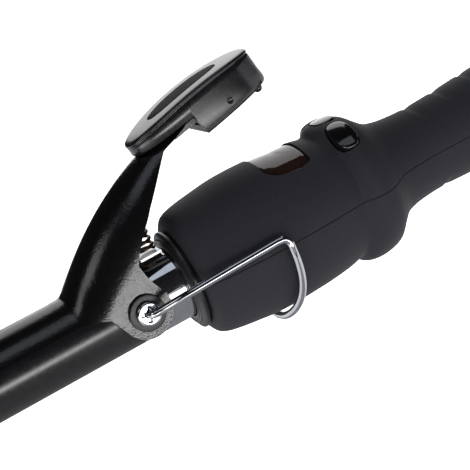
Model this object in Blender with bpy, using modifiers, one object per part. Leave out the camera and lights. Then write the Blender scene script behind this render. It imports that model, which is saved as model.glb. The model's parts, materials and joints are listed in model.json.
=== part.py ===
"""Curling wand with a clamp, a fold-out wire stand, three keys and a display, as separate pieces.

Metres. The origin is the centre of the cool tip's end face. +X runs to the handle, +Z to the thumb lever.
Pieces are drawn from the clamp's pivot axis, so that each moving piece has its origin on its own axis.
"""
import math

import bmesh
import bpy
from mathutils import Matrix, Vector

# Driving dimensions. Lengths along X are from the pivot axis unless their name says otherwise.
GAP = 0.0003                 # clearance between pieces that touch
TURN_SIDES = 32              # sides of the large turned pieces
SMALL_SIDES = 16             # sides of the small turned pieces

PIVOT_FROM_TIP = 0.165       # barrel's length from the tip's end face to the pivot axis
TIP_LENGTH = 0.018
TIP_FACE_RADIUS = 0.0050
TIP_SPIGOT = 0.012
BARREL_RADIUS = 0.0095       # the 19 mm barrel
BARREL_WALL = 0.0010
BARREL_END = -0.0020         # where the coated tube meets the bright root sleeve
SLEEVE_WALL = 0.0018
SLEEVE_SPIGOT = 0.008
SLEEVE_END = 0.030

HEATER_LENGTH, HEATER_WIDTH, HEATER_THICK = 0.060, 0.011, 0.0030
HEATER_FROM_SHOES = 0.006    # heat shoes' front end to the heating element's
SHOE_REAR = -0.016
SHOE_TIP_CLEAR = 0.016       # from the tip's shoulder to the heat shoes
SENSOR_RADIUS, SENSOR_LENGTH = 0.0014, 0.006
LEAD_BUSH_LENGTH = 0.012
LEAD_RADIUS = 0.0007
LEAD_PITCH = 0.0032

SHEET = 0.0008               # clamp plate's thickness
CLIP_FROM_TIP = 0.004        # cool tip's shoulder to the clip's front edge
CLIP_HALF_ANGLE = math.radians(63)
CLIP_LIP, CLIP_LIP_LENGTH = 0.0012, 0.0030
KINK_X = -0.0154             # where the lever leaves the clip
LEVER_START = math.radians(49)
LEVER_END = math.radians(12.7)
LEVER_ARC = 0.086
TONGUE_LENGTH = 0.0155
TONGUE_HALF_WIDTH = 0.0054
NECK_HALF_WIDTH = 0.0076
EAR_RADIUS = 0.0068
EAR_WAIST_X, EAR_WAIST_Z = 0.0033, 0.0103

PIVOT_SCREW_RADIUS = 0.0020
PIVOT_SCREW_BLIND = 0.0018   # solid foot of the screw inside the stand's wire hole
PIVOT_HEAD_RADIUS, PIVOT_HEAD_THICK = 0.0030, 0.0011
SHOULDER_RADIUS, SHOULDER_THICK = 0.0047, 0.0008

WIRE_RADIUS = 0.00102
WIRE_BEND = 0.0016           # where the wire turns out of the screw
STAND_REACH = 0.0376         # pivot axis to the stand's front corners
STAND_RISE = 0.0030          # how far the arms climb on their way back
STAND_LEAN = 0.0045          # how far the crossbar lies in front of the corners

PAD_LENGTH, PAD_WIDTH = 0.0391, 0.0166
PAD_ARCH, PAD_DOME = 0.0021, 0.0006   # rise of the pad's top along and across it
PAD_SKIRT = 0.0033
PAD_BOX_DEPTH = 0.0092       # from the pad's rim down to the box's floor
PAD_BOX_FRONT = -0.0028      # along the pad, from its middle
PAD_FROM_LEVER = 0.0044      # end of the lever's arc to the pad's middle
PAD_ABOVE_TONGUE = 0.0023
PAD_SCREW_U = 0.0045         # along the pad, from its middle
PAD_SCREW_HOLE, PAD_SCREW_SHANK, PAD_SCREW_HEAD = 0.0015, 0.0011, 0.0022
PAD_SCREW_HEAD_THICK = 0.0012
PAD_SCREW_TOP = -0.0011
PAD_STEP = 0.0001            # how far the box stands in from the rim
TONGUE_SEAT = 0.0005         # room between the tongue and its liner
LINER_FRONT = -0.0095
INLAY_SIDES = 24
INLAY_LENGTH, INLAY_WIDTH, INLAY_THICK = 0.0215, 0.0078, 0.0007
LINER_THICK = 0.0013
STOP_RADIUS, STOP_FROM_END = 0.0012, 0.0030
SPRING_X, COIL_RADIUS, COIL_WIRE = 0.0085, 0.0022, 0.00045
COIL_TURNS, COIL_SIDES, COIL_CLOSED_PITCH = 6, 9, 0.06
SEAT_THICK, SEAT_HALF_LENGTH, SEAT_HALF_WIDTH = 0.0006, 0.0030, 0.0032

WALL = 0.0020                # handle shells' wall
NOSE_X = 0.0150
NOSE_STEP, SHOULDER_STEP = 0.0057, 0.0074   # housing's nose outside the barrel's radius
BELLY_X, BELLY_RADIUS = 0.0368, 0.01935
VALLEY_X, VALLEY_RADIUS = 0.0583, 0.01772
RIDGE_X, RIDGE_RADIUS = 0.0647, 0.01980
NECK_X, NECK_RADIUS = 0.0880, 0.01160
GRIP_FROM_END, GRIP_RADIUS = 0.0370, 0.01360
HANDLE_END, HANDLE_END_RADIUS = 0.1720, 0.01200
COLLAR_FACE = 0.0123         # collar's front face
COLLAR_LIP, COLLAR_LIP_STEP = 0.0135, 0.0040
COLLAR_BODY_STEP = 0.0028
PLATE_THICK, PLATE_EASE = 0.0025, 0.0002    # plate that holds the root sleeve

WINDOW_FRONT, WINDOW_REAR = 0.0421, 0.0545
WINDOW_FRONT_HALF, WINDOW_WIDE_HALF, WINDOW_REAR_HALF = 0.0096, 0.0123, 0.0109
LENS_THICK, LENS_RECESS = 0.0015, 0.0002

KEY_ANGLE = math.radians(32.3)
KEY_HALF_LENGTH, KEY_HALF_ROUND, POWER_HALF_ROUND = 0.0031, 0.0053, 0.0037
KEY_CAP_BELOW_WALL = 0.0004  # shell's inside at the ridge to the underside of a key's cap
KEY_FOOT_SHARE = 0.55        # width of a key's foot round the ridge, of its cap's
KEY_PROUD = 0.0005
KEY_TRAVEL = 0.0005
KEY_FLANGE_BELOW_WALL = 0.0013
KEY_FLANGE_THICK, KEY_FLANGE_EDGE = 0.0006, 0.0008
SWITCH_RADIUS, SWITCH_HEIGHT = 0.0021, 0.0020
CARRIER_THICK = 0.0012

BOARD_TOP, BOARD_THICK = 0.0086, 0.0016
BOARD_FRONT, BOARD_REAR = SLEEVE_END + 2 * GAP, 0.0690
TRIAC, TRIAC_FROM_FRONT = (0.010, 0.010, 0.0045), 0.012
CAPACITOR_RADIUS, CAPACITOR_LENGTH = 0.004, 0.012

BOSS_RADIUS, SHELL_SCREW_RADIUS, SHELL_HEAD_RADIUS = 0.0036, 0.0014, 0.0026
SHELL_SCREW_FROM_NECK, SHELL_SCREW_FROM_END = 0.0120, 0.0240
SHELL_HEAD_DEPTH, SHELL_HEAD_THICK = 0.0060, 0.0016   # heads' seat below the parting plane
SHELL_SCREW_BITE = 0.0055    # shanks' end above it

CAP_LENGTH = 0.0065
CAP_WALL = 0.0015
CORD_BORE = 0.0033
GLAND_WALL = 0.0019
MAINS_RADIUS = 0.0009        # mains leads and contact pins
CONTACT_LENGTH, HOLDER_THICK = 0.0045, 0.0040
GLAND_LENGTH = 0.0115        # beyond the end cap

# Sizes that follow from the ones above
TIP_X = -PIVOT_FROM_TIP
BARREL_FRONT = TIP_X + TIP_LENGTH
SHOE_FRONT = BARREL_FRONT + SHOE_TIP_CLEAR
HEATER_REAR = SHOE_FRONT + HEATER_FROM_SHOES + HEATER_LENGTH
CLIP_FRONT = BARREL_FRONT + CLIP_FROM_TIP
BARREL_BORE = BARREL_RADIUS - BARREL_WALL
SLEEVE_BORE = BARREL_BORE - GAP - SLEEVE_WALL / 2
CLIP_INNER = BARREL_RADIUS + GAP
EAR_INNER, EAR_OUTER = CLIP_INNER, CLIP_INNER + SHEET
SHOULDER_INNER = EAR_OUTER + GAP
HEAD_INNER = SHOULDER_INNER + SHOULDER_THICK + GAP
HEAD_OUTER = HEAD_INNER + PIVOT_HEAD_THICK
WIRE_BORE = WIRE_RADIUS + GAP
COLLAR_BODY = BARREL_RADIUS + COLLAR_BODY_STEP
HOOP_RADIUS = BELLY_RADIUS + 2 * GAP + WIRE_RADIUS
GRIP_X = HANDLE_END - GRIP_FROM_END
SHELL_SCREW_X = (NECK_X + SHELL_SCREW_FROM_NECK, HANDLE_END - SHELL_SCREW_FROM_END)
SCREW_FOOT = SLEEVE_BORE + PIVOT_SCREW_BLIND
INLAY_TOP = PAD_ARCH + PAD_DOME
KEY_CAP_UNDER = RIDGE_RADIUS - WALL - KEY_CAP_BELOW_WALL
KEY_FLANGE_TOP = RIDGE_RADIUS - WALL - KEY_FLANGE_BELOW_WALL
BOARD_UNDER = BOARD_TOP - BOARD_THICK

parts = None
tools = None
datums = {}


# ---------------------------------------------------------------- scene, materials, placing

def start_scene():
    """Empties the scene and makes the two collections."""
    global parts, tools
    for obj in list(bpy.data.objects):
        bpy.data.objects.remove(obj, do_unlink=True)
    parts = bpy.data.collections.new("curling_wand")
    tools = bpy.data.collections.new("cutters")
    for collection in (parts, tools):
        bpy.context.scene.collection.children.link(collection)


def datum(name, place):
    """An empty on a joint's axis or at the pivot, which pieces are parented to."""
    empty = bpy.data.objects.new(name, None)
    empty.empty_display_size = 0.01
    empty.location = place
    parts.objects.link(empty)
    datums[name] = empty
    return empty


def material(name, colour, roughness, metallic=0.0, alpha=1.0):
    """A Principled material."""
    made = bpy.data.materials.new(name)
    made.use_nodes = True
    shader = made.node_tree.nodes["Principled BSDF"]
    shader.inputs["Base Color"].default_value = (*colour, 1.0)
    shader.inputs["Roughness"].default_value = roughness
    shader.inputs["Metallic"].default_value = metallic
    shader.inputs["Alpha"].default_value = alpha
    return made


def place(obj, finish=None, parent="pivot", guide=False):
    """Puts an object into its collection, under the empty that carries it."""
    for collection in list(obj.users_collection):
        collection.objects.unlink(obj)
    (tools if guide else parts).objects.link(obj)
    if parent is not None:
        obj.parent = datums[parent]
    if guide:
        obj.hide_render = True
        obj.display_type = "WIRE"
    elif finish is not None:
        obj.data.materials.clear()
        obj.data.materials.append(FINISHES[finish])
    if obj.type == "MESH":
        obj.data.shade_smooth()
        obj.data.set_sharp_from_angle(angle=math.radians(35))
    return obj


def new_mesh(name, mesh):
    """An object around a bmesh."""
    data = bpy.data.meshes.new(name)
    mesh.normal_update()
    mesh.to_mesh(data)
    mesh.free()
    return bpy.data.objects.new(name, data)


# ---------------------------------------------------------------- shapes

def turned(name, outline, sides=TURN_SIDES, closed=True, **how):
    """A piece turned about X. The outline is (x, radius): rising x outside, then back inside or on the axis."""
    mesh = bmesh.new()
    points = [mesh.verts.new((x, 0, radius)) for x, radius in outline]
    for first, second in zip(points, points[1:]):
        mesh.edges.new((first, second))
    if closed:
        mesh.edges.new((points[-1], points[0]))
    obj = new_mesh(name, mesh)
    screw = obj.modifiers.new("Turn", "SCREW")
    screw.axis = "X"
    screw.steps = screw.render_steps = sides
    screw.use_merge_vertices = True
    screw.merge_threshold = 0.00001
    screw.use_normal_flip = True
    return place(obj, **how)


def flat(name, outline, low, high, across="Y", **how):
    """A plate cut from a flat outline, between two places along X, Y or Z, as a mesh."""
    curve = bpy.data.curves.new(name, "CURVE")
    curve.dimensions = "2D"
    curve.fill_mode = "BOTH"
    curve.extrude = (high - low) / 2
    spline = curve.splines.new("POLY")
    spline.points.add(len(outline) - 1)
    for point, (a, b) in zip(spline.points, outline):
        point.co = (a, b, 0, 1)
    spline.use_cyclic_u = True
    drawn = bpy.data.objects.new(name, curve)
    bpy.context.scene.collection.objects.link(drawn)
    turn = {"Z": Matrix(), "Y": Matrix.Rotation(math.pi / 2, 4, "X"),
            "X": Matrix(((0, 0, 1, 0), (1, 0, 0, 0), (0, 1, 0, 0), (0, 0, 0, 1)))}[across]
    middle = (low + high) / 2
    offset = Vector({"X": (middle, 0, 0), "Y": (0, middle, 0), "Z": (0, 0, middle)}[across])
    data = to_mesh(drawn, Matrix.Translation(offset) @ turn)
    obj = bpy.data.objects.new(name, data)
    return place(obj, **how)


def to_mesh(drawn, matrix=None):
    """The evaluated mesh of a curve, with its caps welded, and the curve removed."""
    name = drawn.name
    bpy.context.view_layer.update()
    seen = drawn.evaluated_get(bpy.context.evaluated_depsgraph_get())
    data = bpy.data.meshes.new_from_object(seen)
    bpy.data.objects.remove(drawn, do_unlink=True)
    mesh = bmesh.new()
    mesh.from_mesh(data)
    bmesh.ops.remove_doubles(mesh, verts=mesh.verts, dist=0.000001)
    if matrix is not None:
        mesh.transform(matrix)
    bmesh.ops.recalc_face_normals(mesh, faces=mesh.faces)
    mesh.to_mesh(data)
    mesh.free()
    data.name = name
    return data


def box(name, low, high, **how):
    """A box between two corners."""
    mesh = bmesh.new()
    bmesh.ops.create_cube(mesh, size=1)
    size = [b - a for a, b in zip(low, high)]
    middle = [(a + b) / 2 for a, b in zip(low, high)]
    mesh.transform(Matrix.Translation(middle) @ Matrix.Diagonal((*size, 1)))
    return place(new_mesh(name, mesh), **how)


def rod(name, start, end, radius, sides=SMALL_SIDES, **how):
    """A round rod between two points."""
    start, end = Vector(start), Vector(end)
    mesh = bmesh.new()
    bmesh.ops.create_cone(mesh, cap_ends=True, segments=sides, radius1=radius, radius2=radius,
                          depth=(end - start).length)
    turn = (end - start).to_track_quat("Z", "X").to_matrix().to_4x4()
    mesh.transform(Matrix.Translation((start + end) / 2) @ turn)
    return place(new_mesh(name, mesh), **how)


def wire(name, route, radius, detail=2, **how):
    """A round wire along a list of points, as a mesh."""
    curve = bpy.data.curves.new(name, "CURVE")
    curve.dimensions = "3D"
    curve.bevel_depth = radius
    curve.bevel_resolution = detail
    curve.use_fill_caps = True
    spline = curve.splines.new("POLY")
    spline.points.add(len(route) - 1)
    for point, spot in zip(spline.points, route):
        point.co = (*spot, 1)
    drawn = bpy.data.objects.new(name, curve)
    bpy.context.scene.collection.objects.link(drawn)
    return place(bpy.data.objects.new(name, to_mesh(drawn)), **how)


def boolean(obj, tool, operation):
    """Cuts, joins or crosses an object with another."""
    made = obj.modifiers.new(operation.title(), "BOOLEAN")
    made.operation = operation
    made.object = tool
    made.solver = "EXACT"


def cut(obj, *cutters):
    for cutter in cutters:
        boolean(obj, cutter, "DIFFERENCE")


def join(obj, *pieces):
    for piece in pieces:
        boolean(obj, piece, "UNION")


def cross(obj, *pieces):
    for piece in pieces:
        boolean(obj, piece, "INTERSECT")


def arc(centre, radius, start, end, count):
    """Points along an arc, angles in degrees."""
    steps = [math.radians(start + (end - start) * i / count) for i in range(count + 1)]
    return [(centre[0] + radius * math.cos(a), centre[1] + radius * math.sin(a)) for a in steps]


def smooth_route(spots, steps):
    """A Catmull-Rom curve through spots, with the given steps between two of them."""
    spots = [Vector(spot) for spot in spots]
    padded = [2 * spots[0] - spots[1]] + spots + [2 * spots[-1] - spots[-2]]
    route = []
    for i in range(1, len(padded) - 2):
        a, b, c, d = padded[i - 1:i + 3]
        for step in range(steps):
            t = step / steps
            route.append(0.5 * (2 * b + (c - a) * t + (2 * a - 5 * b + 4 * c - d) * t ** 2
                                + (3 * b - a - 3 * c + d) * t ** 3))
    return route + [spots[-1]]


# ---------------------------------------------------------------- housing's outline

def housing_stations():
    """The places that the housing's and the handle's outside passes through, as (x, radius)."""
    rise = RIDGE_RADIUS - VALLEY_RADIUS
    fall = RIDGE_RADIUS - NECK_RADIUS
    return [
        (NOSE_X, BARREL_RADIUS + NOSE_STEP),
        (NOSE_X + 0.0022, BARREL_RADIUS + SHOULDER_STEP),
        (NOSE_X + 0.0062, BARREL_RADIUS + SHOULDER_STEP + 0.0010),
        (BELLY_X - 0.008, BELLY_RADIUS - 0.0004),
        (BELLY_X, BELLY_RADIUS),
        ((BELLY_X + VALLEY_X) / 2, VALLEY_RADIUS + 0.70 * (BELLY_RADIUS - VALLEY_RADIUS)),
        (VALLEY_X, VALLEY_RADIUS),
        (VALLEY_X + 0.0028, VALLEY_RADIUS + 0.62 * rise),
        (RIDGE_X, RIDGE_RADIUS),
        (RIDGE_X + 0.0033, RIDGE_RADIUS - 0.08 * fall),
        (RIDGE_X + 0.0055, RIDGE_RADIUS - 0.23 * fall),
        (RIDGE_X + 0.0078, RIDGE_RADIUS - 0.52 * fall),
        (RIDGE_X + 0.0105, RIDGE_RADIUS - 0.78 * fall),
        (RIDGE_X + 0.0140, RIDGE_RADIUS - 0.92 * fall),
        (NECK_X, NECK_RADIUS),
        ((NECK_X + GRIP_X) / 2, (NECK_RADIUS + GRIP_RADIUS) / 2),
        (GRIP_X, GRIP_RADIUS),
        (HANDLE_END, HANDLE_END_RADIUS),
    ]


def housing_radius(x):
    """Outside radius of the housing or the handle at x, on a smooth curve through the stations."""
    stations = housing_stations()
    for i in range(len(stations) - 1):
        (x0, r0), (x1, r1) = stations[i], stations[i + 1]
        if x <= x1 or i == len(stations) - 2:
            slopes = []
            for j in (i, i + 1):
                before, after = stations[max(j - 1, 0)], stations[min(j + 1, len(stations) - 1)]
                slopes.append((after[1] - before[1]) / (after[0] - before[0]))
            span = x1 - x0
            t = min(max((x - x0) / span, 0), 1)
            return (r0 * (1 + 2 * t) * (1 - t) ** 2 + slopes[0] * span * t * (1 - t) ** 2
                    + r1 * t * t * (3 - 2 * t) - slopes[1] * span * t * t * (1 - t))
    raise ValueError(x)


def housing_spots(low, high):
    """x places that draw the outside between two ends: the ends and each station between them."""
    places = [x for x, _ in housing_stations()]
    return [low] + [x for x in places if low + 0.0004 < x < high - 0.0004] + [high]


def housing_ring(name, low, high, outward, inner_radius, **how):
    """A ring that follows the housing's outside between two x places, with a plain round bore."""
    outside = [(x, housing_radius(x) + outward) for x in housing_spots(low, high)]
    return turned(name, outside + [(high, inner_radius), (low, inner_radius)], **how)


# ---------------------------------------------------------------- barrel

def barrel():
    """Cool tip, coated tube and bright root sleeve."""
    shoulder = BARREL_FRONT - GAP
    turned("cool_tip", [
        (TIP_X, 0), (TIP_X, TIP_FACE_RADIUS), (TIP_X + 0.0010, BARREL_RADIUS - 0.0022),
        (TIP_X + 0.0030, BARREL_RADIUS - 0.0009), (TIP_X + 0.0075, BARREL_RADIUS - 0.0002),
        (TIP_X + 0.0120, BARREL_RADIUS + 0.0002), (shoulder, BARREL_RADIUS), (shoulder, BARREL_BORE - GAP),
        (shoulder + TIP_SPIGOT, BARREL_BORE - GAP), (shoulder + TIP_SPIGOT, 0)],
        closed=False, finish="heatproof_plastic")
    turned("barrel_tube", [
        (BARREL_FRONT, BARREL_RADIUS), (BARREL_END, BARREL_RADIUS),
        (BARREL_END, BARREL_BORE), (BARREL_FRONT, BARREL_BORE)], finish="black_coating")
    sleeve = turned("root_sleeve", [
        (BARREL_END - SLEEVE_SPIGOT, BARREL_BORE - GAP), (BARREL_END + GAP, BARREL_BORE - GAP),
        (BARREL_END + GAP, BARREL_RADIUS), (SLEEVE_END, BARREL_RADIUS),
        (SLEEVE_END, SLEEVE_BORE), (BARREL_END - SLEEVE_SPIGOT, SLEEVE_BORE)], finish="bright_chrome")
    cut(sleeve, rod("pivot_bore", (0, -EAR_OUTER, 0), (0, EAR_OUTER, 0), PIVOT_SCREW_RADIUS + GAP, guide=True))


def heater():
    """The heating element between its two shoes, the sensor, the lead bush and the leads."""
    box("heating_element", (HEATER_REAR - HEATER_LENGTH, -HEATER_WIDTH / 2, -HEATER_THICK / 2),
        (HEATER_REAR, HEATER_WIDTH / 2, HEATER_THICK / 2), finish="ceramic")
    radius, flat_z = BARREL_BORE - GAP, HEATER_THICK / 2 + GAP
    lift = math.degrees(math.asin(flat_z / radius))
    half_round = arc((0, 0), radius, lift, 180 - lift, 14)
    for name, side in (("heat_shoe_upper", 1), ("heat_shoe_lower", -1)):
        flat(name, [(y, side * z) for y, z in half_round], SHOE_FRONT, SHOE_REAR,
             across="X", finish="aluminium")
    sensor_x = HEATER_REAR + 0.006
    rod("temperature_sensor", (sensor_x, 0, 0), (sensor_x + SENSOR_LENGTH, 0, 0), SENSOR_RADIUS,
        sides=12, finish="glass_bead")
    bush_end = SLEEVE_END - 0.002
    bush_start = bush_end - LEAD_BUSH_LENGTH
    turned("lead_bush", [(bush_start, SLEEVE_BORE - GAP), (bush_end, SLEEVE_BORE - GAP),
                         (bush_end, LEAD_PITCH), (bush_start, LEAD_PITCH)], sides=24, finish="ceramic")
    under_board = BOARD_UNDER - GAP - LEAD_RADIUS
    for name, side in (("heater_lead_left", -1), ("heater_lead_right", 1)):
        y = side * LEAD_PITCH / 2
        spots = [(HEATER_REAR + GAP, side * 0.0035, 0), (HEATER_REAR + 0.008, side * 0.0030, 0),
                 (SHOE_REAR, y, 0), (SLEEVE_END - 0.004, y, 0), (SLEEVE_END + 0.003, y, 0.0012),
                 (SLEEVE_END + 0.007, y, under_board)]
        wire(name, smooth_route(spots, 2), LEAD_RADIUS, detail=0, finish="glass_sleeving")


# ---------------------------------------------------------------- clamp

def lever_crest(x):
    """Height of the clamp plate's inner face over the centre line, at x."""
    foot = CLIP_INNER
    if x <= KINK_X:
        lift = max(0.0, 1 - (x - CLIP_FRONT) / CLIP_LIP_LENGTH)
        return foot + CLIP_LIP * lift ** 2
    end = lever_end()
    if x >= end[0]:
        return end[1] + (x - end[0]) * math.tan(LEVER_END)
    angle = math.asin(math.sin(LEVER_START) - (x - KINK_X) / LEVER_ARC)
    return foot + LEVER_ARC * (math.cos(angle) - math.cos(LEVER_START))


def lever_end():
    """Where the lever's arc ends and its straight tongue begins, as (x, z) on the inner face."""
    return (KINK_X + LEVER_ARC * (math.sin(LEVER_START) - math.sin(LEVER_END)),
            CLIP_INNER + LEVER_ARC * (math.cos(LEVER_END) - math.cos(LEVER_START)))


def blend(x, low, high):
    """0 below low, 1 above high, smooth between."""
    t = min(max((x - low) / (high - low), 0), 1)
    return t * t * (3 - 2 * t)


def plate_section(x):
    """The clamp plate's inner face at x, as an upside-down U from the near leg to the far one."""
    end_x = lever_end()[0]
    narrow = blend(x, 0.010, end_x - 0.007)
    half = CLIP_INNER + (NECK_HALF_WIDTH - SHEET - CLIP_INNER) * narrow
    half += (TONGUE_HALF_WIDTH - half) * blend(x, end_x - 0.0010, end_x + 0.0006)
    crown = half + (0.0016 - half) * blend(x, 0.004, end_x - 0.004)
    crest = lever_crest(x)
    leg = 0.018 + 0.012 * blend(x, KINK_X, 0.0) - 0.022 * blend(x, 0.012, end_x)
    spots = [(x, -half, crest - crown - leg), (x, -half, crest - crown - leg / 2)]
    for step in range(15):
        angle = math.pi * (step / 14 - 0.5)
        spots.append((x, half * math.sin(angle), crest - crown + crown * math.cos(angle)))
    return spots + [(x, half, crest - crown - leg / 2), (x, half, crest - crown - leg)]


def plate_side_view():
    """The clamp plate's silhouette from the side: clip, ear round the pivot, waist, lever and tongue."""
    edge = CLIP_INNER * math.cos(CLIP_HALF_ANGLE)
    front = CLIP_FRONT
    end_x, end_z = lever_end()
    tongue_x = end_x + TONGUE_LENGTH * math.cos(LEVER_END)
    under = 0.0016
    shoulder = Vector((-1.29 * EAR_RADIUS, 0.36 * EAR_RADIUS))
    reach = math.degrees(math.acos(EAR_RADIUS / shoulder.length))
    bearing = math.degrees(math.atan2(shoulder.y, shoulder.x))
    ear = arc((0, 0), EAR_RADIUS, bearing + reach, 360 + 14, 16)
    waist = [(0.90 * EAR_RADIUS, 0.42 * EAR_RADIUS), (0.72 * EAR_RADIUS, 0.76 * EAR_RADIUS),
             (0.58 * EAR_RADIUS, 1.12 * EAR_RADIUS), (EAR_WAIST_X, EAR_WAIST_Z),
             (EAR_WAIST_X - 0.0001, EAR_WAIST_Z + 0.0012)]
    lever = [(end_x - back, lever_crest(end_x - back) - drop)
             for back, drop in ((0.0085, 0.0022), (0.0055, 0.0018))]
    tongue = [(end_x, end_z - under), (tongue_x, lever_crest(tongue_x) - under)]
    top = 0.075
    clip = [(front - 0.002, top), (front - 0.002, 0.0085), (front + 0.0005, 0.0068), (front + 0.0030, edge),
            (KINK_X - 0.004, edge), (KINK_X, edge - 0.0001), (KINK_X + 0.003, edge - 0.0005),
            (shoulder.x - 0.0018, edge - 0.0012)]
    return clip + [tuple(shoulder)] + ear + waist + lever + tongue + [(tongue_x, top)]


def loft(name, sections, **how):
    """An open sheet through like sections."""
    mesh = bmesh.new()
    rows = [[mesh.verts.new(spot) for spot in section] for section in sections]
    for first, second in zip(rows, rows[1:]):
        for i in range(len(first) - 1):
            mesh.faces.new((first[i], second[i], second[i + 1], first[i + 1]))
    return place(new_mesh(name, mesh), **how)


def clamp_plate():
    """Clip, ears and lever, pressed from one sheet."""
    end_x = lever_end()[0]
    tongue_x = end_x + TONGUE_LENGTH * math.cos(LEVER_END)
    stations = [CLIP_FRONT, CLIP_FRONT + 0.0012, CLIP_FRONT + 0.0030, KINK_X - 0.0030, KINK_X]
    count = 14
    stations += [KINK_X + (end_x - 0.0012 - KINK_X) * i / count for i in range(1, count + 1)]
    stations += [end_x - 0.0002, end_x + 0.0007, tongue_x + 0.001]
    sheet = loft("clamp_plate", [plate_section(x) for x in stations], parent="clamp_axis", finish="gloss_black")
    skin = sheet.modifiers.new("Sheet", "SOLIDIFY")
    skin.thickness = SHEET
    skin.offset = 1
    wide = EAR_OUTER + 0.004
    cross(sheet, flat("plate_side_view", plate_side_view(), -wide, wide, parent="clamp_axis", guide=True))
    cut(sheet, rod("ear_bore", (0, -wide, 0), (0, wide, 0), PIVOT_SCREW_RADIUS + GAP,
                   parent="clamp_axis", guide=True),
        pad_rod("tongue_bore", -PAD_BOX_DEPTH, 0, PAD_SCREW_HOLE))


# The pad is drawn in its own frame: u along it, v across it, w away from the lever.

def pad_matrix():
    """Places the pad's frame over the lever's tongue, in the pivot's frame."""
    x, z = lever_end()
    along = Vector((math.cos(LEVER_END), 0, math.sin(LEVER_END)))
    out = Vector((-math.sin(LEVER_END), 0, math.cos(LEVER_END)))
    middle = Vector((x, 0, z)) + along * PAD_FROM_LEVER + out * (PAD_ABOVE_TONGUE + SHEET)
    frame = Matrix((along, Vector((0, 1, 0)), out)).transposed().to_4x4()
    return Matrix.Translation(middle) @ frame


def in_pad_frame(obj):
    obj.matrix_local = pad_matrix()
    return obj


def pad_rod(name, low, high, radius, guide=True, **how):
    """A rod on the pad screw's axis."""
    return in_pad_frame(rod(name, (PAD_SCREW_U, 0, low), (PAD_SCREW_U, 0, high), radius,
                            parent="clamp_axis", guide=guide, **how))


def pad_box(name, low, high, guide=True, **how):
    return in_pad_frame(box(name, low, high, parent="clamp_axis", guide=guide, **how))


def oval(length, width, count=32, power=2.4):
    """A rounded oval, as (u, v)."""
    outline = []
    for i in range(count):
        angle = 2 * math.pi * i / count
        c, s = math.cos(angle), math.sin(angle)
        outline.append((length / 2 * math.copysign(abs(c) ** (2 / power), c),
                        width / 2 * math.copysign(abs(s) ** (2 / power), s)))
    return outline


def arched_top(obj, above):
    """Raises the points over a height onto the pad's arched and slightly domed top."""
    for vertex in obj.data.vertices:
        if vertex.co.z > above:
            along = 1 - (2 * vertex.co.x / PAD_LENGTH) ** 2
            across = 1 - (2 * vertex.co.y / PAD_WIDTH) ** 2
            vertex.co.z += PAD_ARCH * along + PAD_DOME * across
    return obj


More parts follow.
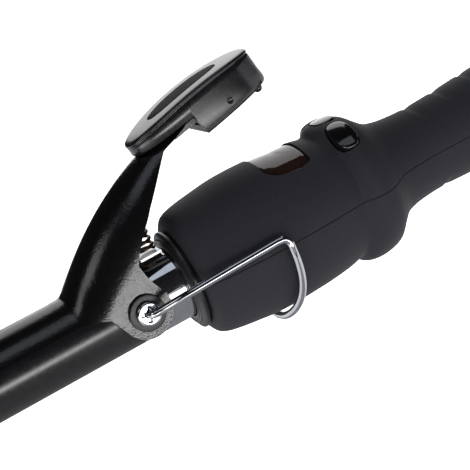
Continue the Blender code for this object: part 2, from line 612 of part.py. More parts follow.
def thumb_pad():
    """The pad, its inlay, liner, screw and stop."""
    under = -PAD_ABOVE_TONGUE + GAP
    skirt = -PAD_SKIRT
    pad = flat("thumb_pad", oval(PAD_LENGTH, PAD_WIDTH), skirt, 0.0, across="Z",
               parent="clamp_axis", finish="gloss_plastic")
    in_pad_frame(arched_top(pad, -PAD_SKIRT / 2))
    box_outline = oval(PAD_LENGTH - 2 * PAD_STEP, PAD_WIDTH - 2 * PAD_STEP)
    deep = in_pad_frame(flat("pad_box_outline", box_outline, -PAD_BOX_DEPTH, -0.0005,
                             across="Z", parent="clamp_axis", guide=True))
    cross(deep, pad_box("pad_box_rear", (PAD_BOX_FRONT, -PAD_WIDTH, -2 * PAD_BOX_DEPTH),
                        (PAD_LENGTH, PAD_WIDTH, PAD_BOX_DEPTH)))
    join(pad, deep)
    pocket_end = TONGUE_LENGTH - PAD_FROM_LEVER + 2 * GAP
    pocket_half = TONGUE_HALF_WIDTH + SHEET + GAP
    liner_top = under - SHEET - 3 * GAP - TONGUE_SEAT
    liner_low = liner_top - LINER_THICK
    head = liner_low - GAP
    floor = head + GAP
    cut(pad,
        pad_box("pad_pocket", (-PAD_LENGTH, -pocket_half, floor), (pocket_end, pocket_half, under)),
        pad_box("pad_front_relief", (-PAD_LENGTH, -PAD_WIDTH, -2 * PAD_BOX_DEPTH),
                (PAD_BOX_FRONT - GAP, PAD_WIDTH, under)),
        pad_rod("pad_screw_bore", -2 * PAD_BOX_DEPTH, PAD_SCREW_TOP + GAP, PAD_SCREW_SHANK + GAP),
        pad_rod("pad_screw_mouth", -2 * PAD_BOX_DEPTH, floor + GAP, PAD_SCREW_HEAD + GAP))
    well_outline = oval(INLAY_LENGTH + 2 * GAP, INLAY_WIDTH + 2 * GAP, INLAY_SIDES)
    cut(pad, in_pad_frame(flat("inlay_well", well_outline, INLAY_TOP - INLAY_THICK - 2 * GAP, 3 * INLAY_TOP,
                               across="Z", parent="clamp_axis", guide=True)))
    in_pad_frame(flat("thumb_pad_inlay", oval(INLAY_LENGTH, INLAY_WIDTH, INLAY_SIDES),
                      INLAY_TOP - INLAY_THICK - GAP, INLAY_TOP - 2 * GAP,
                      across="Z", parent="clamp_axis", finish="soft_touch"))
    liner = pad_box("tongue_liner", (LINER_FRONT, -TONGUE_HALF_WIDTH + GAP, liner_low),
                    (pocket_end - 2 * GAP, TONGUE_HALF_WIDTH - GAP, liner_top), guide=False, finish="grey_fibre")
    cut(liner, pad_rod("liner_bore", -2 * PAD_BOX_DEPTH, PAD_BOX_DEPTH, PAD_SCREW_HOLE))
    screw = pad_rod("pad_screw", head - PAD_SCREW_HEAD_THICK, head, PAD_SCREW_HEAD, guide=False, finish="zinc")
    join(screw, pad_rod("pad_screw_shank", head - PAD_SCREW_HEAD_THICK / 2, PAD_SCREW_TOP, PAD_SCREW_SHANK))
    stop = bmesh.new()
    bmesh.ops.create_uvsphere(stop, u_segments=14, v_segments=8, radius=STOP_RADIUS)
    nub = place(new_mesh("pad_stop", stop), parent="clamp_axis", finish="gloss_plastic")
    spot = (PAD_LENGTH / 2 - STOP_FROM_END, 0, -PAD_BOX_DEPTH - GAP - STOP_RADIUS)
    nub.matrix_local = pad_matrix() @ Matrix.Translation(spot)


def clamp_spring():
    """The coil spring under the lever and the seat that it stands on."""
    seat_low = BARREL_RADIUS + GAP
    box("spring_seat", (SPRING_X - SEAT_HALF_LENGTH, -SEAT_HALF_WIDTH, seat_low),
        (SPRING_X + SEAT_HALF_LENGTH, SEAT_HALF_WIDTH, seat_low + SEAT_THICK), finish="zinc")
    low = seat_low + SEAT_THICK + GAP + COIL_WIRE
    high = lever_crest(SPRING_X - COIL_RADIUS - COIL_WIRE) - 2 * GAP - COIL_WIRE
    closed = COIL_CLOSED_PITCH
    open_turns = COIL_TURNS - 2
    heights = [0.0] + [closed + (1 - 2 * closed) * i / open_turns for i in range(open_turns + 1)] + [1.0]
    route = []
    for i in range(COIL_TURNS * COIL_SIDES + 1):
        turn = i / COIL_SIDES
        whole = min(int(turn), COIL_TURNS - 1)
        height = heights[whole] + (heights[whole + 1] - heights[whole]) * (turn - whole)
        angle = 2 * math.pi * turn
        route.append((SPRING_X + COIL_RADIUS * math.cos(angle), COIL_RADIUS * math.sin(angle),
                      low + (high - low) * height))
    wire("clamp_spring", route, COIL_WIRE, detail=0, finish="spring_steel")


def pivots():
    """The pivot screws, which the ears turn on, with their shoulder rings."""
    def across(name, side, low, high, radius, **how):
        return rod(name, (0, side * low, 0), (0, side * high, 0), radius, sides=24, **how)

    for side, hand in ((-1, "left"), (1, "right")):
        ring = across(f"shoulder_ring_{hand}", side, SHOULDER_INNER, SHOULDER_INNER + SHOULDER_THICK,
                      SHOULDER_RADIUS, finish="heatproof_plastic")
        cut(ring, across(f"ring_bore_{hand}", side, EAR_OUTER - SHEET, HEAD_OUTER,
                         PIVOT_SCREW_RADIUS + GAP, guide=True))
        screw = across(f"pivot_screw_{hand}", side, HEAD_INNER, HEAD_OUTER, PIVOT_HEAD_RADIUS,
                       finish="bright_chrome")
        join(screw, across(f"screw_shank_{hand}", side, SLEEVE_BORE + GAP, (HEAD_INNER + HEAD_OUTER) / 2,
                           PIVOT_SCREW_RADIUS, guide=True))
        cut(screw, across(f"screw_bore_{hand}", side, SCREW_FOOT, 2 * HEAD_OUTER, WIRE_BORE, guide=True))


# ---------------------------------------------------------------- stand

def stand_route():
    """The wire's centre line, from the near pivot round under the housing to the far one."""
    hoop = HOOP_RADIUS
    arm_y = HEAD_OUTER + GAP + WIRE_RADIUS + 0.0004
    near = [(0.0, -(SCREW_FOOT + GAP), 0.0)]
    for turn in (0, 30, 60, 90):
        a = math.radians(turn)
        near.append((WIRE_BEND * (1 - math.cos(a)), -arm_y + WIRE_BEND * (1 - math.sin(a)), 0))
    corner = Vector((STAND_REACH, -hoop, STAND_RISE))
    beside = housing_radius(NOSE_X + 0.0040) + WIRE_RADIUS + 0.0010
    clear = Vector((0.36 * STAND_REACH, -beside, 0.65 * STAND_RISE))
    arm = smooth_route([near[-1], clear, corner - Vector((0.0030, 0, 0))], 3)[1:]
    elbow = [corner + Vector(step) for step in ((-0.0012, 0, -0.0003), (-0.0002, 0, -0.0015), (0, 0, -0.0030))]
    down = []
    for turn in (12, 25, 38, 51, 64, 77, 90):
        a = math.radians(turn)
        down.append((STAND_REACH - STAND_LEAN * math.sin(a) ** 3, -hoop * math.cos(a), -hoop * math.sin(a)))
    half = [tuple(spot) for spot in near + arm + elbow + down]
    return half + [(x, -y, z) for x, y, z in reversed(half[:-1])]


def wire_stand():
    """The chrome wire that folds out to hold the hot barrel off the table."""
    wire("wire_stand", stand_route(), WIRE_RADIUS, detail=2, parent="stand_axis", finish="bright_chrome")


# ---------------------------------------------------------------- handle

def nose():
    """The ring that closes the housing round the root sleeve, and the plate that holds the sleeve."""
    bore = BARREL_RADIUS + GAP
    lip = BARREL_RADIUS + COLLAR_LIP_STEP
    body = COLLAR_BODY
    flange_x = NOSE_X + WALL + GAP
    turned("nose_collar", [
        (COLLAR_FACE, bore), (COLLAR_FACE, bore + 0.0016), (COLLAR_FACE + 0.0004, lip - 0.0012),
        (COLLAR_LIP - 0.0002, lip), (COLLAR_LIP + 0.0006, lip), (COLLAR_LIP + 0.0010, lip - 0.0010),
        (COLLAR_LIP + 0.0010, body), (flange_x, body), (flange_x, body + 0.0018),
        (flange_x + 0.0015, body + 0.0018), (flange_x + 0.0015, bore)], finish="heatproof_plastic")
    plate = flange_x + 0.0030
    plate_end = plate + PLATE_THICK
    edge = housing_radius(plate) - WALL - GAP - PLATE_EASE
    turned("barrel_flange", [(plate, edge), (plate_end, edge), (plate_end, bore), (plate, bore)],
           finish="fibre_board")


def shell_blank(name, side, **how):
    """One half of the housing and handle, before its openings are cut."""
    spots = housing_spots(NOSE_X, HANDLE_END)
    outside = [(x, housing_radius(x)) for x in spots]
    inside = [(x, radius - WALL) for x, radius in outside if x > NOSE_X + WALL + 0.0008]
    bore = COLLAR_BODY + GAP
    front = [(NOSE_X + WALL, housing_radius(NOSE_X + WALL) - WALL), (NOSE_X + WALL, bore), (NOSE_X, bore)]
    shell = turned(name, outside + list(reversed(inside)) + front, finish="soft_touch", **how)
    for i, x in enumerate(SHELL_SCREW_X):
        edge = (housing_radius(x) - WALL / 2) * side
        join(shell, rod(f"{name}_boss_{i}", (x, 0, 0), (x, 0, edge), BOSS_RADIUS, guide=True))
    far = 2 * RIDGE_RADIUS
    low, high = (GAP / 2, far) if side > 0 else (-far, -GAP / 2)
    cross(shell, box(f"{name}_half", (-far, -far, low), (HANDLE_END + far, far, high), guide=True))
    return shell


def window_outline(clear):
    """The display window from above, smaller all round by a clearance."""
    front, rear = WINDOW_FRONT + clear, WINDOW_REAR - clear
    side = [(front, WINDOW_FRONT_HALF - clear),
            ((2 * front + rear) / 3, (WINDOW_FRONT_HALF + 2 * WINDOW_WIDE_HALF) / 3 - clear),
            ((front + 2 * rear) / 3, WINDOW_WIDE_HALF - clear), (rear, WINDOW_REAR_HALF - clear)]
    return [(x, -y) for x, y in side] + [(x, y) for x, y in reversed(side)]


KEYS = (("minus", -KEY_ANGLE, KEY_HALF_ROUND), ("power", 0.0, POWER_HALF_ROUND),
        ("plus", KEY_ANGLE, KEY_HALF_ROUND))


def key_prism(name, angle, half_round, extra, low, high, **how):
    """An oval prism that stands out of the ridge at an angle from the top."""
    out = Vector((0, math.sin(angle), math.cos(angle)))
    centre = Vector((RIDGE_X + 0.0002, 0, 0))
    mesh = bmesh.new()
    bmesh.ops.create_cone(mesh, cap_ends=True, segments=24, radius1=1, radius2=1, depth=1)
    scale = Matrix.Diagonal((KEY_HALF_LENGTH + extra, half_round + extra, high - low, 1))
    turn = Matrix.Rotation(-angle, 4, "X")
    mesh.transform(Matrix.Translation(centre + out * (low + high) / 2) @ turn @ scale)
    return place(new_mesh(name, mesh), **how)


def shells():
    """Upper and lower halves of the housing and handle, with the screws between them."""
    upper = shell_blank("shell_upper", 1)
    cut(upper, flat("window_cut", window_outline(0), 0.004, 2 * RIDGE_RADIUS, across="Z", guide=True))
    for name, angle, half_round in KEYS:
        cut(upper, key_prism(f"key_cut_{name}", angle, half_round, GAP, 0.012, 0.026, guide=True))
    lower = shell_blank("shell_lower", -1)
    hole = SHELL_SCREW_RADIUS + GAP
    seat = -SHELL_HEAD_DEPTH
    for i, x in enumerate(SHELL_SCREW_X):
        below = -2 * RIDGE_RADIUS
        bite = SHELL_SCREW_BITE + 2 * GAP
        cut(upper, rod(f"screw_hole_upper_{i}", (x, 0, -WALL), (x, 0, bite), hole, guide=True))
        cut(lower, rod(f"screw_hole_lower_{i}", (x, 0, below), (x, 0, WALL), hole, guide=True),
            rod(f"screw_head_hole_{i}", (x, 0, below), (x, 0, seat), SHELL_HEAD_RADIUS + GAP, guide=True))
        head = seat - GAP - SHELL_HEAD_THICK
        screw = rod(f"shell_screw_{i + 1}", (x, 0, head), (x, 0, seat - GAP), SHELL_HEAD_RADIUS, finish="zinc")
        join(screw, rod(f"shell_screw_shank_{i + 1}", (x, 0, head + SHELL_HEAD_THICK / 2),
                        (x, 0, SHELL_SCREW_BITE), SHELL_SCREW_RADIUS, guide=True))


def display():
    """The window's lens and the display under it."""
    lens = housing_ring("display_lens", WINDOW_FRONT - 0.001, WINDOW_REAR + 0.001, -LENS_RECESS,
                        VALLEY_RADIUS - LENS_RECESS - LENS_THICK, finish="smoke_lens")
    cross(lens, flat("lens_outline", window_outline(GAP), 0.004, 2 * RIDGE_RADIUS, across="Z", guide=True))
    half = WINDOW_FRONT_HALF - 0.0006
    clear = VALLEY_RADIUS - LENS_RECESS - LENS_THICK - GAP
    top = math.sqrt(clear ** 2 - half ** 2)
    box("display_module", (WINDOW_FRONT + 0.0008, -half, BOARD_TOP + GAP), (WINDOW_REAR - 0.0008, half, top),
        finish="display_face")


def controls():
    """Control board, key carrier, switches, keys and the parts under the board."""
    clear = VALLEY_RADIUS - WALL - GAP
    half = math.sqrt(clear ** 2 - BOARD_TOP ** 2)
    box("control_board", (BOARD_FRONT, -half, BOARD_UNDER), (BOARD_REAR, half, BOARD_TOP), finish="circuit_board")
    length, width, thick = TRIAC
    start = BOARD_FRONT + TRIAC_FROM_FRONT
    top = BOARD_UNDER - GAP
    box("triac", (start, -0.8 * width, top - thick), (start + length, 0.2 * width, top), finish="black_epoxy")
    start += length + 0.003
    centre = BOARD_UNDER - GAP - CAPACITOR_RADIUS
    rod("mains_capacitor", (start, 0, centre), (start + CAPACITOR_LENGTH, 0, centre), CAPACITOR_RADIUS,
        finish="capacitor_film")
    flange_low = KEY_FLANGE_TOP - KEY_FLANGE_THICK
    switch_top = flange_low - KEY_TRAVEL - GAP
    switch_foot = switch_top - SWITCH_HEIGHT
    carrier_top = switch_foot - GAP
    carrier = turned("key_carrier", [
        (RIDGE_X - 0.0040, carrier_top), (RIDGE_X + 0.0042, carrier_top),
        (RIDGE_X + 0.0042, carrier_top - CARRIER_THICK), (RIDGE_X - 0.0040, carrier_top - CARRIER_THICK)],
        finish="black_epoxy")
    cross(carrier, box("carrier_half", (0.05, -0.03, BOARD_TOP + GAP), (0.08, 0.03, 0.03), guide=True))
    for name, angle, half_round in KEYS:
        out = Vector((0, math.sin(angle), math.cos(angle)))
        middle = Vector((RIDGE_X + 0.0002, 0, 0))
        rod(f"switch_{name}", middle + out * switch_foot, middle + out * switch_top, SWITCH_RADIUS,
            sides=12, finish="black_epoxy")
        at = Vector((RIDGE_X, 0, 0)) + out * RIDGE_RADIUS
        datum(f"key_{name}_axis", datums["pivot"].location + at)
        key = housing_ring(f"key_{name}", RIDGE_X - 0.0046, RIDGE_X + 0.0048, KEY_PROUD, KEY_CAP_UNDER,
                           finish="gloss_plastic")
        cross(key, key_prism(f"key_outline_{name}", angle, half_round, 0.0, 0.010, 0.030, guide=True))
        foot_round = KEY_FOOT_SHARE * half_round
        for piece, top, edge in (("foot", KEY_CAP_UNDER + 0.0004, -0.0004),
                                 ("flange", KEY_FLANGE_TOP, KEY_FLANGE_EDGE / 2)):
            ring = turned(f"key_{piece}_{name}", [
                (RIDGE_X - 0.0060, top), (RIDGE_X + 0.0060, top),
                (RIDGE_X + 0.0060, flange_low), (RIDGE_X - 0.0060, flange_low)], guide=True)
            cross(ring, key_prism(f"{piece}_outline_{name}", angle, foot_round - edge, edge,
                                  0.010, 0.030, guide=True))
            join(key, ring)
        carry(key, f"key_{name}_axis")


def carry(obj, axis):
    """Hands a piece over to another empty without moving it."""
    shift = datums["pivot"].location - datums[axis].location
    obj.data.transform(Matrix.Translation(shift))
    obj.parent = datums[axis]
    for made in obj.modifiers:
        if made.type == "SCREW":
            made.object = datums["pivot"]


def tail():
    """End cap, cord gland, its contacts and the mains leads inside the handle."""
    inside = HANDLE_END_RADIUS - WALL - GAP
    neck = CORD_BORE + GLAND_WALL
    inner_wall = HANDLE_END + 0.0025
    face = HANDLE_END + CAP_LENGTH
    spigot = HANDLE_END - 0.0040
    turned("end_cap", [
        (spigot, inside), (HANDLE_END + GAP, inside), (HANDLE_END + GAP, HANDLE_END_RADIUS),
        (HANDLE_END + CAP_LENGTH * 0.55, HANDLE_END_RADIUS - 0.0006), (face - 0.0006, HANDLE_END_RADIUS - 0.0020),
        (face, HANDLE_END_RADIUS - 0.0032), (face, neck + GAP), (inner_wall, neck + GAP),
        (inner_wall, inside - CAP_WALL), (spigot, inside - CAP_WALL)], finish="heatproof_plastic")
    front = spigot + 0.0005
    flange = inside - CAP_WALL - GAP
    turned("cord_gland", [
        (front, neck + 0.0006), (front + 0.0015, neck + 0.0006), (front + 0.0015, flange),
        (inner_wall - GAP, flange), (inner_wall - GAP, neck), (face + GAP, neck), (face + GAP, neck + 0.0018),
        (face + 0.0022, neck + 0.0018), (face + GLAND_LENGTH, neck), (face + GLAND_LENGTH, CORD_BORE),
        (front, CORD_BORE)], sides=32, parent="gland_axis", finish="gloss_plastic")
    holder_end = front - CONTACT_LENGTH
    holder_start = holder_end - HOLDER_THICK
    edge = housing_radius(holder_end) - WALL - GAP - PLATE_EASE
    turned("contact_holder", [(holder_start, edge), (holder_end, edge), (holder_end, CORD_BORE),
                              (holder_start, CORD_BORE)], sides=24, finish="fibre_board")
    under_board = BOARD_UNDER - GAP - MAINS_RADIUS
    pin_y = CORD_BORE + GLAND_WALL / 2 + PLATE_EASE
    for name, side in (("neutral", -1), ("line", 1)):
        rod(f"contact_pin_{name}", (holder_end + GAP, side * pin_y, 0), (front - GAP, side * pin_y, 0),
            MAINS_RADIUS, sides=12, finish="brass")
        wide = BOSS_RADIUS + 0.0026
        first, last = SHELL_SCREW_X
        spots = [(holder_start - GAP, side * pin_y, 0), (last, side * wide, 0.0006),
                 ((first + last) / 2, side * wide, -0.0010), (first, side * wide, 0.0006),
                 (NECK_X - 0.006, side * 0.0060, 0.0030), (BOARD_REAR - 0.003, side * 0.0055, under_board),
                 (BOARD_REAR - 0.008, side * 0.0055, under_board)]
        wire(f"mains_lead_{name}", smooth_route(spots, 2), MAINS_RADIUS, detail=0,
             finish="lead_red" if side > 0 else "lead_white")


# ---------------------------------------------------------------- build

start_scene()
FINISHES = {
    "black_coating": material("black_coating", (0.010, 0.010, 0.012), 0.12),
    "gloss_black": material("gloss_black", (0.008, 0.008, 0.009), 0.18),
    "gloss_plastic": material("gloss_plastic", (0.010, 0.010, 0.011), 0.15),
    "soft_touch": material("soft_touch", (0.022, 0.022, 0.025), 0.55),
    "heatproof_plastic": material("heatproof_plastic", (0.014, 0.014, 0.016), 0.35),
    "bright_chrome": material("bright_chrome", (0.86, 0.86, 0.88), 0.06, 1.0),
    "zinc": material("zinc", (0.62, 0.62, 0.62), 0.35, 1.0),
    "spring_steel": material("spring_steel", (0.22, 0.17, 0.13), 0.35, 1.0),
    "aluminium": material("aluminium", (0.80, 0.80, 0.82), 0.40, 1.0),
    "brass": material("brass", (0.72, 0.55, 0.22), 0.30, 1.0),
    "ceramic": material("ceramic", (0.80, 0.78, 0.72), 0.60),
    "glass_bead": material("glass_bead", (0.35, 0.18, 0.06), 0.20),
    "glass_sleeving": material("glass_sleeving", (0.78, 0.76, 0.70), 0.80),
    "fibre_board": material("fibre_board", (0.28, 0.19, 0.10), 0.70),
    "grey_fibre": material("grey_fibre", (0.55, 0.55, 0.54), 0.75),
    "circuit_board": material("circuit_board", (0.02, 0.16, 0.06), 0.45),
    "black_epoxy": material("black_epoxy", (0.02, 0.02, 0.02), 0.50),
    "capacitor_film": material("capacitor_film", (0.55, 0.42, 0.06), 0.40),
    "display_face": material("display_face", (0.10, 0.12, 0.10), 0.30),
    "smoke_lens": material("smoke_lens", (0.05, 0.045, 0.05), 0.05, alpha=0.45),
    "lead_red": material("lead_red", (0.45, 0.02, 0.02), 0.45),
    "lead_white": material("lead_white", (0.75, 0.75, 0.72), 0.45),
}
pivot_place = Vector((PIVOT_FROM_TIP, 0, 0))
for axis_name in ("pivot", "clamp_axis", "stand_axis", "gland_axis"):
    datum(axis_name, pivot_place)
barrel()
heater()
clamp_plate()
thumb_pad()
clamp_spring()
pivots()
wire_stand()
nose()
shells()
display()
controls()
tail()
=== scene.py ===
import json
import math

import bmesh
import bpy
from mathutils import Matrix, Quaternion, Vector


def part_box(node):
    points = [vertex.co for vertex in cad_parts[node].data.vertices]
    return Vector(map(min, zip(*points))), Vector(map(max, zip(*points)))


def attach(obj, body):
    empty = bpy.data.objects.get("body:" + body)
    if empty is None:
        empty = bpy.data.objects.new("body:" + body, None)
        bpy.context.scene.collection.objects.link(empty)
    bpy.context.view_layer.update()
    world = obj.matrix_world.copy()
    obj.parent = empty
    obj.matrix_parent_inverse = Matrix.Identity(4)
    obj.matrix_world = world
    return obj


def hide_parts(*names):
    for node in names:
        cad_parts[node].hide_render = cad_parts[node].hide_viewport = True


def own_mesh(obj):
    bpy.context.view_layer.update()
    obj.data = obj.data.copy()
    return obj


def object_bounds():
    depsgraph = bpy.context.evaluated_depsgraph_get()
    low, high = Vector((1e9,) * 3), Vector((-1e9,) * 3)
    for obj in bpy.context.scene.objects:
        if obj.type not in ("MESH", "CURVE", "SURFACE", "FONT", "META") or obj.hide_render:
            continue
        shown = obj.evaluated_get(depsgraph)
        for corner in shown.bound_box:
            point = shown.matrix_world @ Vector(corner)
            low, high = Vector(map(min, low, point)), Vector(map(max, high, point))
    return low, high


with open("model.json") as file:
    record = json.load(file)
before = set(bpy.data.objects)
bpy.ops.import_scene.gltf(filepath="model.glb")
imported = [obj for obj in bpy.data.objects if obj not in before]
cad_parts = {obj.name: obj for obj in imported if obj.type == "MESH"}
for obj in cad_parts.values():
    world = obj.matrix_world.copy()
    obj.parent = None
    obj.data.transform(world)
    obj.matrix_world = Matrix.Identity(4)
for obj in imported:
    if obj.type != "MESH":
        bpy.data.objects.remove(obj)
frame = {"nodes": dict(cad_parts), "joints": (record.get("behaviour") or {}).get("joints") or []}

cad_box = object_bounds()
PIVOT = Vector(next(j["pos_m"] for j in frame["joints"] if j["name"] == "clamp_pivot"))
MM = 0.001


# ---------------------------------------------------------------- camera, floor and light
# A studio table: white paper well below the tool, a white wall behind it, a dim blue-grey panel
# overhead and one wide diffuser low in front. The bright metal shows them as clean bands.

def colour(text, alpha=1.0):
    """sRGB hex to a linear colour."""
    parts = [int(text[i:i + 2], 16) / 255 for i in (1, 3, 5)]
    return (*[p / 12.92 if p <= 0.04045 else ((p + 0.055) / 1.055) ** 2.4 for p in parts], alpha)


def add(tree, kind, inputs=(), **settings):
    """Adds a node. Inputs are pairs of socket name or number and a value, or an output to link."""
    made = tree.nodes.new(kind)
    for name, value in settings.items():
        setattr(made, name, value)
    for socket, value in dict(inputs).items():
        if isinstance(value, bpy.types.NodeSocket):
            tree.links.new(value, made.inputs[socket])
        else:
            made.inputs[socket].default_value = value
    return made


AZIMUTH, ELEVATION, ROLL = math.radians(-15), math.radians(15.7), math.radians(-24.45)
DISTANCE, LENS = 0.390, 116.5
LOOK_AT = PIVOT + Vector((31.5, 0.96, 3.3)) * MM
back = Vector((math.sin(AZIMUTH) * math.cos(ELEVATION), -math.cos(AZIMUTH) * math.cos(ELEVATION),
               math.sin(ELEVATION)))
camera = bpy.data.objects.new("camera", bpy.data.cameras.new("camera"))
camera.data.lens = LENS
camera.data.sensor_width = 36
camera.data.clip_start = 0.01
camera.location = LOOK_AT + back * DISTANCE
camera.rotation_mode = "QUATERNION"
camera.rotation_quaternion = (-back).to_track_quat("-Z", "Y") @ Quaternion((0, 0, 1), ROLL)
bpy.context.scene.collection.objects.link(camera)
bpy.context.scene.camera = camera
bpy.context.scene.view_settings.view_transform = "Standard"

FLOOR_DROP, FLOOR_HALF = 0.18, 6.0
floor_mesh = bmesh.new()
bmesh.ops.create_grid(floor_mesh, x_segments=4, y_segments=4, size=FLOOR_HALF)
floor_data = bpy.data.meshes.new("floor")
floor_mesh.to_mesh(floor_data)
floor_mesh.free()
floor = bpy.data.objects.new("floor", floor_data)
floor.location = (PIVOT.x, 0, cad_box[0].z - FLOOR_DROP)
bpy.context.scene.collection.objects.link(floor)
paper = bpy.data.materials.new("floor_paper")
paper.use_nodes = True
tree = paper.node_tree
tree.nodes.clear()
ray = add(tree, "ShaderNodeLightPath")
pale = add(tree, "ShaderNodeBsdfDiffuse", {"Color": colour("#f4f4f4")})
lit = add(tree, "ShaderNodeEmission", {"Color": colour("#ffffff"), "Strength": 0.93})
seen = add(tree, "ShaderNodeAddShader", {0: pale.outputs[0], 1: lit.outputs[0]})
# Shiny pieces see a painted shadow on the paper: its glow is dimmed right under the tool, where the tool's
# shadow would fall, and bright beside it.
spot = add(tree, "ShaderNodeSeparateXYZ", {0: add(tree, "ShaderNodeTexCoord").outputs["Object"]})
aside = add(tree, "ShaderNodeMath", {0: spot.outputs["X"]}, operation="ABSOLUTE")
painted_shadow_strength = add(tree, "ShaderNodeMapRange", {"Value": aside.outputs[0], "From Min": 0.08, "From Max": 0.16,
                                         "To Min": 0.30, "To Max": 0.95})
# painted shadow: this glow is dimmer under the tool, and only shiny pieces see it
dim = add(tree, "ShaderNodeEmission", {"Color": colour("#f4f5f8"), "Strength": painted_shadow_strength.outputs[0]})
both = add(tree, "ShaderNodeMixShader",
           {0: ray.outputs["Is Glossy Ray"], 1: seen.outputs[0], 2: dim.outputs[0]})
add(tree, "ShaderNodeOutputMaterial", {"Surface": both.outputs[0]})
floor.data.materials.append(paper)

world = bpy.data.worlds.new("studio")
bpy.context.scene.world = world
world.use_nodes = True
tree = world.node_tree
tree.nodes.clear()
way = add(tree, "ShaderNodeSeparateXYZ", {0: add(tree, "ShaderNodeTexCoord").outputs["Generated"]})
height = add(tree, "ShaderNodeMapRange", {"Value": way.outputs["Z"], "From Min": -1.0, "From Max": 1.0})


def bands(stops):
    """A colour ramp over the height of a direction, from (degrees above the horizon, grey or hex) pairs."""
    ramp = add(tree, "ShaderNodeValToRGB", {0: height.outputs[0]}).color_ramp
    while len(ramp.elements) < len(stops):
        ramp.elements.new(0.5)
    for element, (degrees, tone) in zip(ramp.elements, stops):
        element.position = (math.sin(math.radians(degrees)) + 1) / 2
        element.color = colour(tone)
    return tree.nodes[-1].outputs["Color"]


over = bands([(-90, "#2c2c30"), (-12, "#3a3a3e"), (10, "#28282b"), (50, "#1c1c1e"), (90, "#161617")])
studio = add(tree, "ShaderNodeBackground", {"Color": over, "Strength": 1.0})
fill = add(tree, "ShaderNodeBackground", {"Color": colour("#e9ebf0"), "Strength": 0.55})
plain = add(tree, "ShaderNodeBackground", {"Color": colour("#f7f7f7"), "Strength": 1.0})
ray = add(tree, "ShaderNodeLightPath")
lit = add(tree, "ShaderNodeMixShader",
          {0: ray.outputs["Is Glossy Ray"], 1: fill.outputs[0], 2: studio.outputs[0]})
both = add(tree, "ShaderNodeMixShader",
           {0: ray.outputs["Is Camera Ray"], 1: lit.outputs[0], 2: plain.outputs[0]})
add(tree, "ShaderNodeOutputWorld", {"Surface": both.outputs[0]})


def light(name, place, aim, width, length, watts, tone="#ffffff"):
    """A soft rectangular light, hidden from the camera, aimed at a point."""
    lamp = bpy.data.lights.new(name, "AREA")
    lamp.shape = "RECTANGLE"
    lamp.size, lamp.size_y = width, length
    lamp.energy = watts
    lamp.color = colour(tone)[:3]
    holder = bpy.data.objects.new(name, lamp)
    holder.location = place
    holder.rotation_mode = "QUATERNION"
    holder.rotation_quaternion = (Vector(aim) - Vector(place)).to_track_quat("-Z", "Y")
    holder.visible_camera = False
    bpy.context.scene.collection.objects.link(holder)
    return holder


MIDDLE = PIVOT + Vector((15, 0, 5)) * MM


def place_round(bearing, height, reach):
    """A place round the tool: bearing 0 is in front and 180 behind, height is above the horizon."""
    a, e = math.radians(bearing), math.radians(height)
    return MIDDLE + reach * Vector((math.sin(a) * math.cos(e), -math.cos(a) * math.cos(e), math.sin(e)))


def studio_light(name, bearing, height, reach, width, tall, radiance, tone="#ffffff"):
    """A soft box facing the tool, as bright as its radiance."""
    place = place_round(bearing, height, reach)
    return light(name, place, MIDDLE, width, tall, radiance * math.pi * width * tall, tone)


studio_light("box_low_left", -58, -10, 0.50, 0.32, 0.22, 2.2)
studio_light("wall_rear_right", 157, 28, 0.95, 0.75, 1.15, 1.5)
studio_light("panel_overhead", 12, 67, 0.80, 0.80, 0.33, 0.85, "#dfe6f2")
studio_light("glow_left", -70, 40, 0.80, 0.30, 0.30, 1.6)

# The wide diffuser low in front glows most in its middle and fades to its edges.
CARD_HALF, CARD_FLAT = 0.60, 0.20
GLOW_WIDE, GLOW_TALL, GLOW_PEAK = 0.260, 0.040, 8.5
card_mesh = bmesh.new()
bmesh.ops.create_grid(card_mesh, x_segments=2, y_segments=2, size=CARD_HALF)
card_data = bpy.data.meshes.new("diffuser")
card_mesh.to_mesh(card_data)
card_mesh.free()
card = bpy.data.objects.new("diffuser", card_data)
card.location = place_round(1, -15, 0.42)
card.rotation_mode = "QUATERNION"
card.rotation_quaternion = (MIDDLE - card.location).to_track_quat("-Z", "Y")
card.scale = (1, CARD_FLAT, 1)
card.visible_camera = False
card.visible_shadow = False
bpy.context.scene.collection.objects.link(card)
glow = bpy.data.materials.new("diffuser_glow")
glow.use_nodes = True
tree = glow.node_tree
tree.nodes.clear()
spot = add(tree, "ShaderNodeSeparateXYZ", {0: add(tree, "ShaderNodeTexCoord").outputs["Object"]})
wide = add(tree, "ShaderNodeMath", {0: spot.outputs[0], 1: GLOW_WIDE}, operation="DIVIDE")
tall = add(tree, "ShaderNodeMath", {0: spot.outputs[1], 1: GLOW_TALL / CARD_FLAT}, operation="DIVIDE")
wide = add(tree, "ShaderNodeMath", {0: wide.outputs[0], 1: wide.outputs[0]}, operation="MULTIPLY")
both = add(tree, "ShaderNodeMath", {0: tall.outputs[0], 1: tall.outputs[0], 2: wide.outputs[0]},
           operation="MULTIPLY_ADD")
fade = add(tree, "ShaderNodeMath", {0: 1 / math.e, 1: both.outputs[0]}, operation="POWER")
power = add(tree, "ShaderNodeMath", {0: fade.outputs[0], 1: GLOW_PEAK}, operation="MULTIPLY")
shine = add(tree, "ShaderNodeEmission", {"Strength": power.outputs[0]})
add(tree, "ShaderNodeOutputMaterial", {"Surface": shine.outputs[0]})
card.data.materials.append(glow)


# ---------------------------------------------------------------- heatproof cool tip
# The plug that closes the barrel's end stays cool enough to hold while the hair is wound.
# It is moulded in glass-filled polyamide, satin black, and its spigot is pressed into the tube.

def start_material(name, **sockets):
    """A Principled material with values on its own sockets, and its tree and shader."""
    made = bpy.data.materials.new(name)
    made.use_nodes = True
    shader = made.node_tree.nodes["Principled BSDF"]
    for socket, value in sockets.items():
        shader.inputs[socket.replace("_", " ")].default_value = value
    return made, made.node_tree, shader


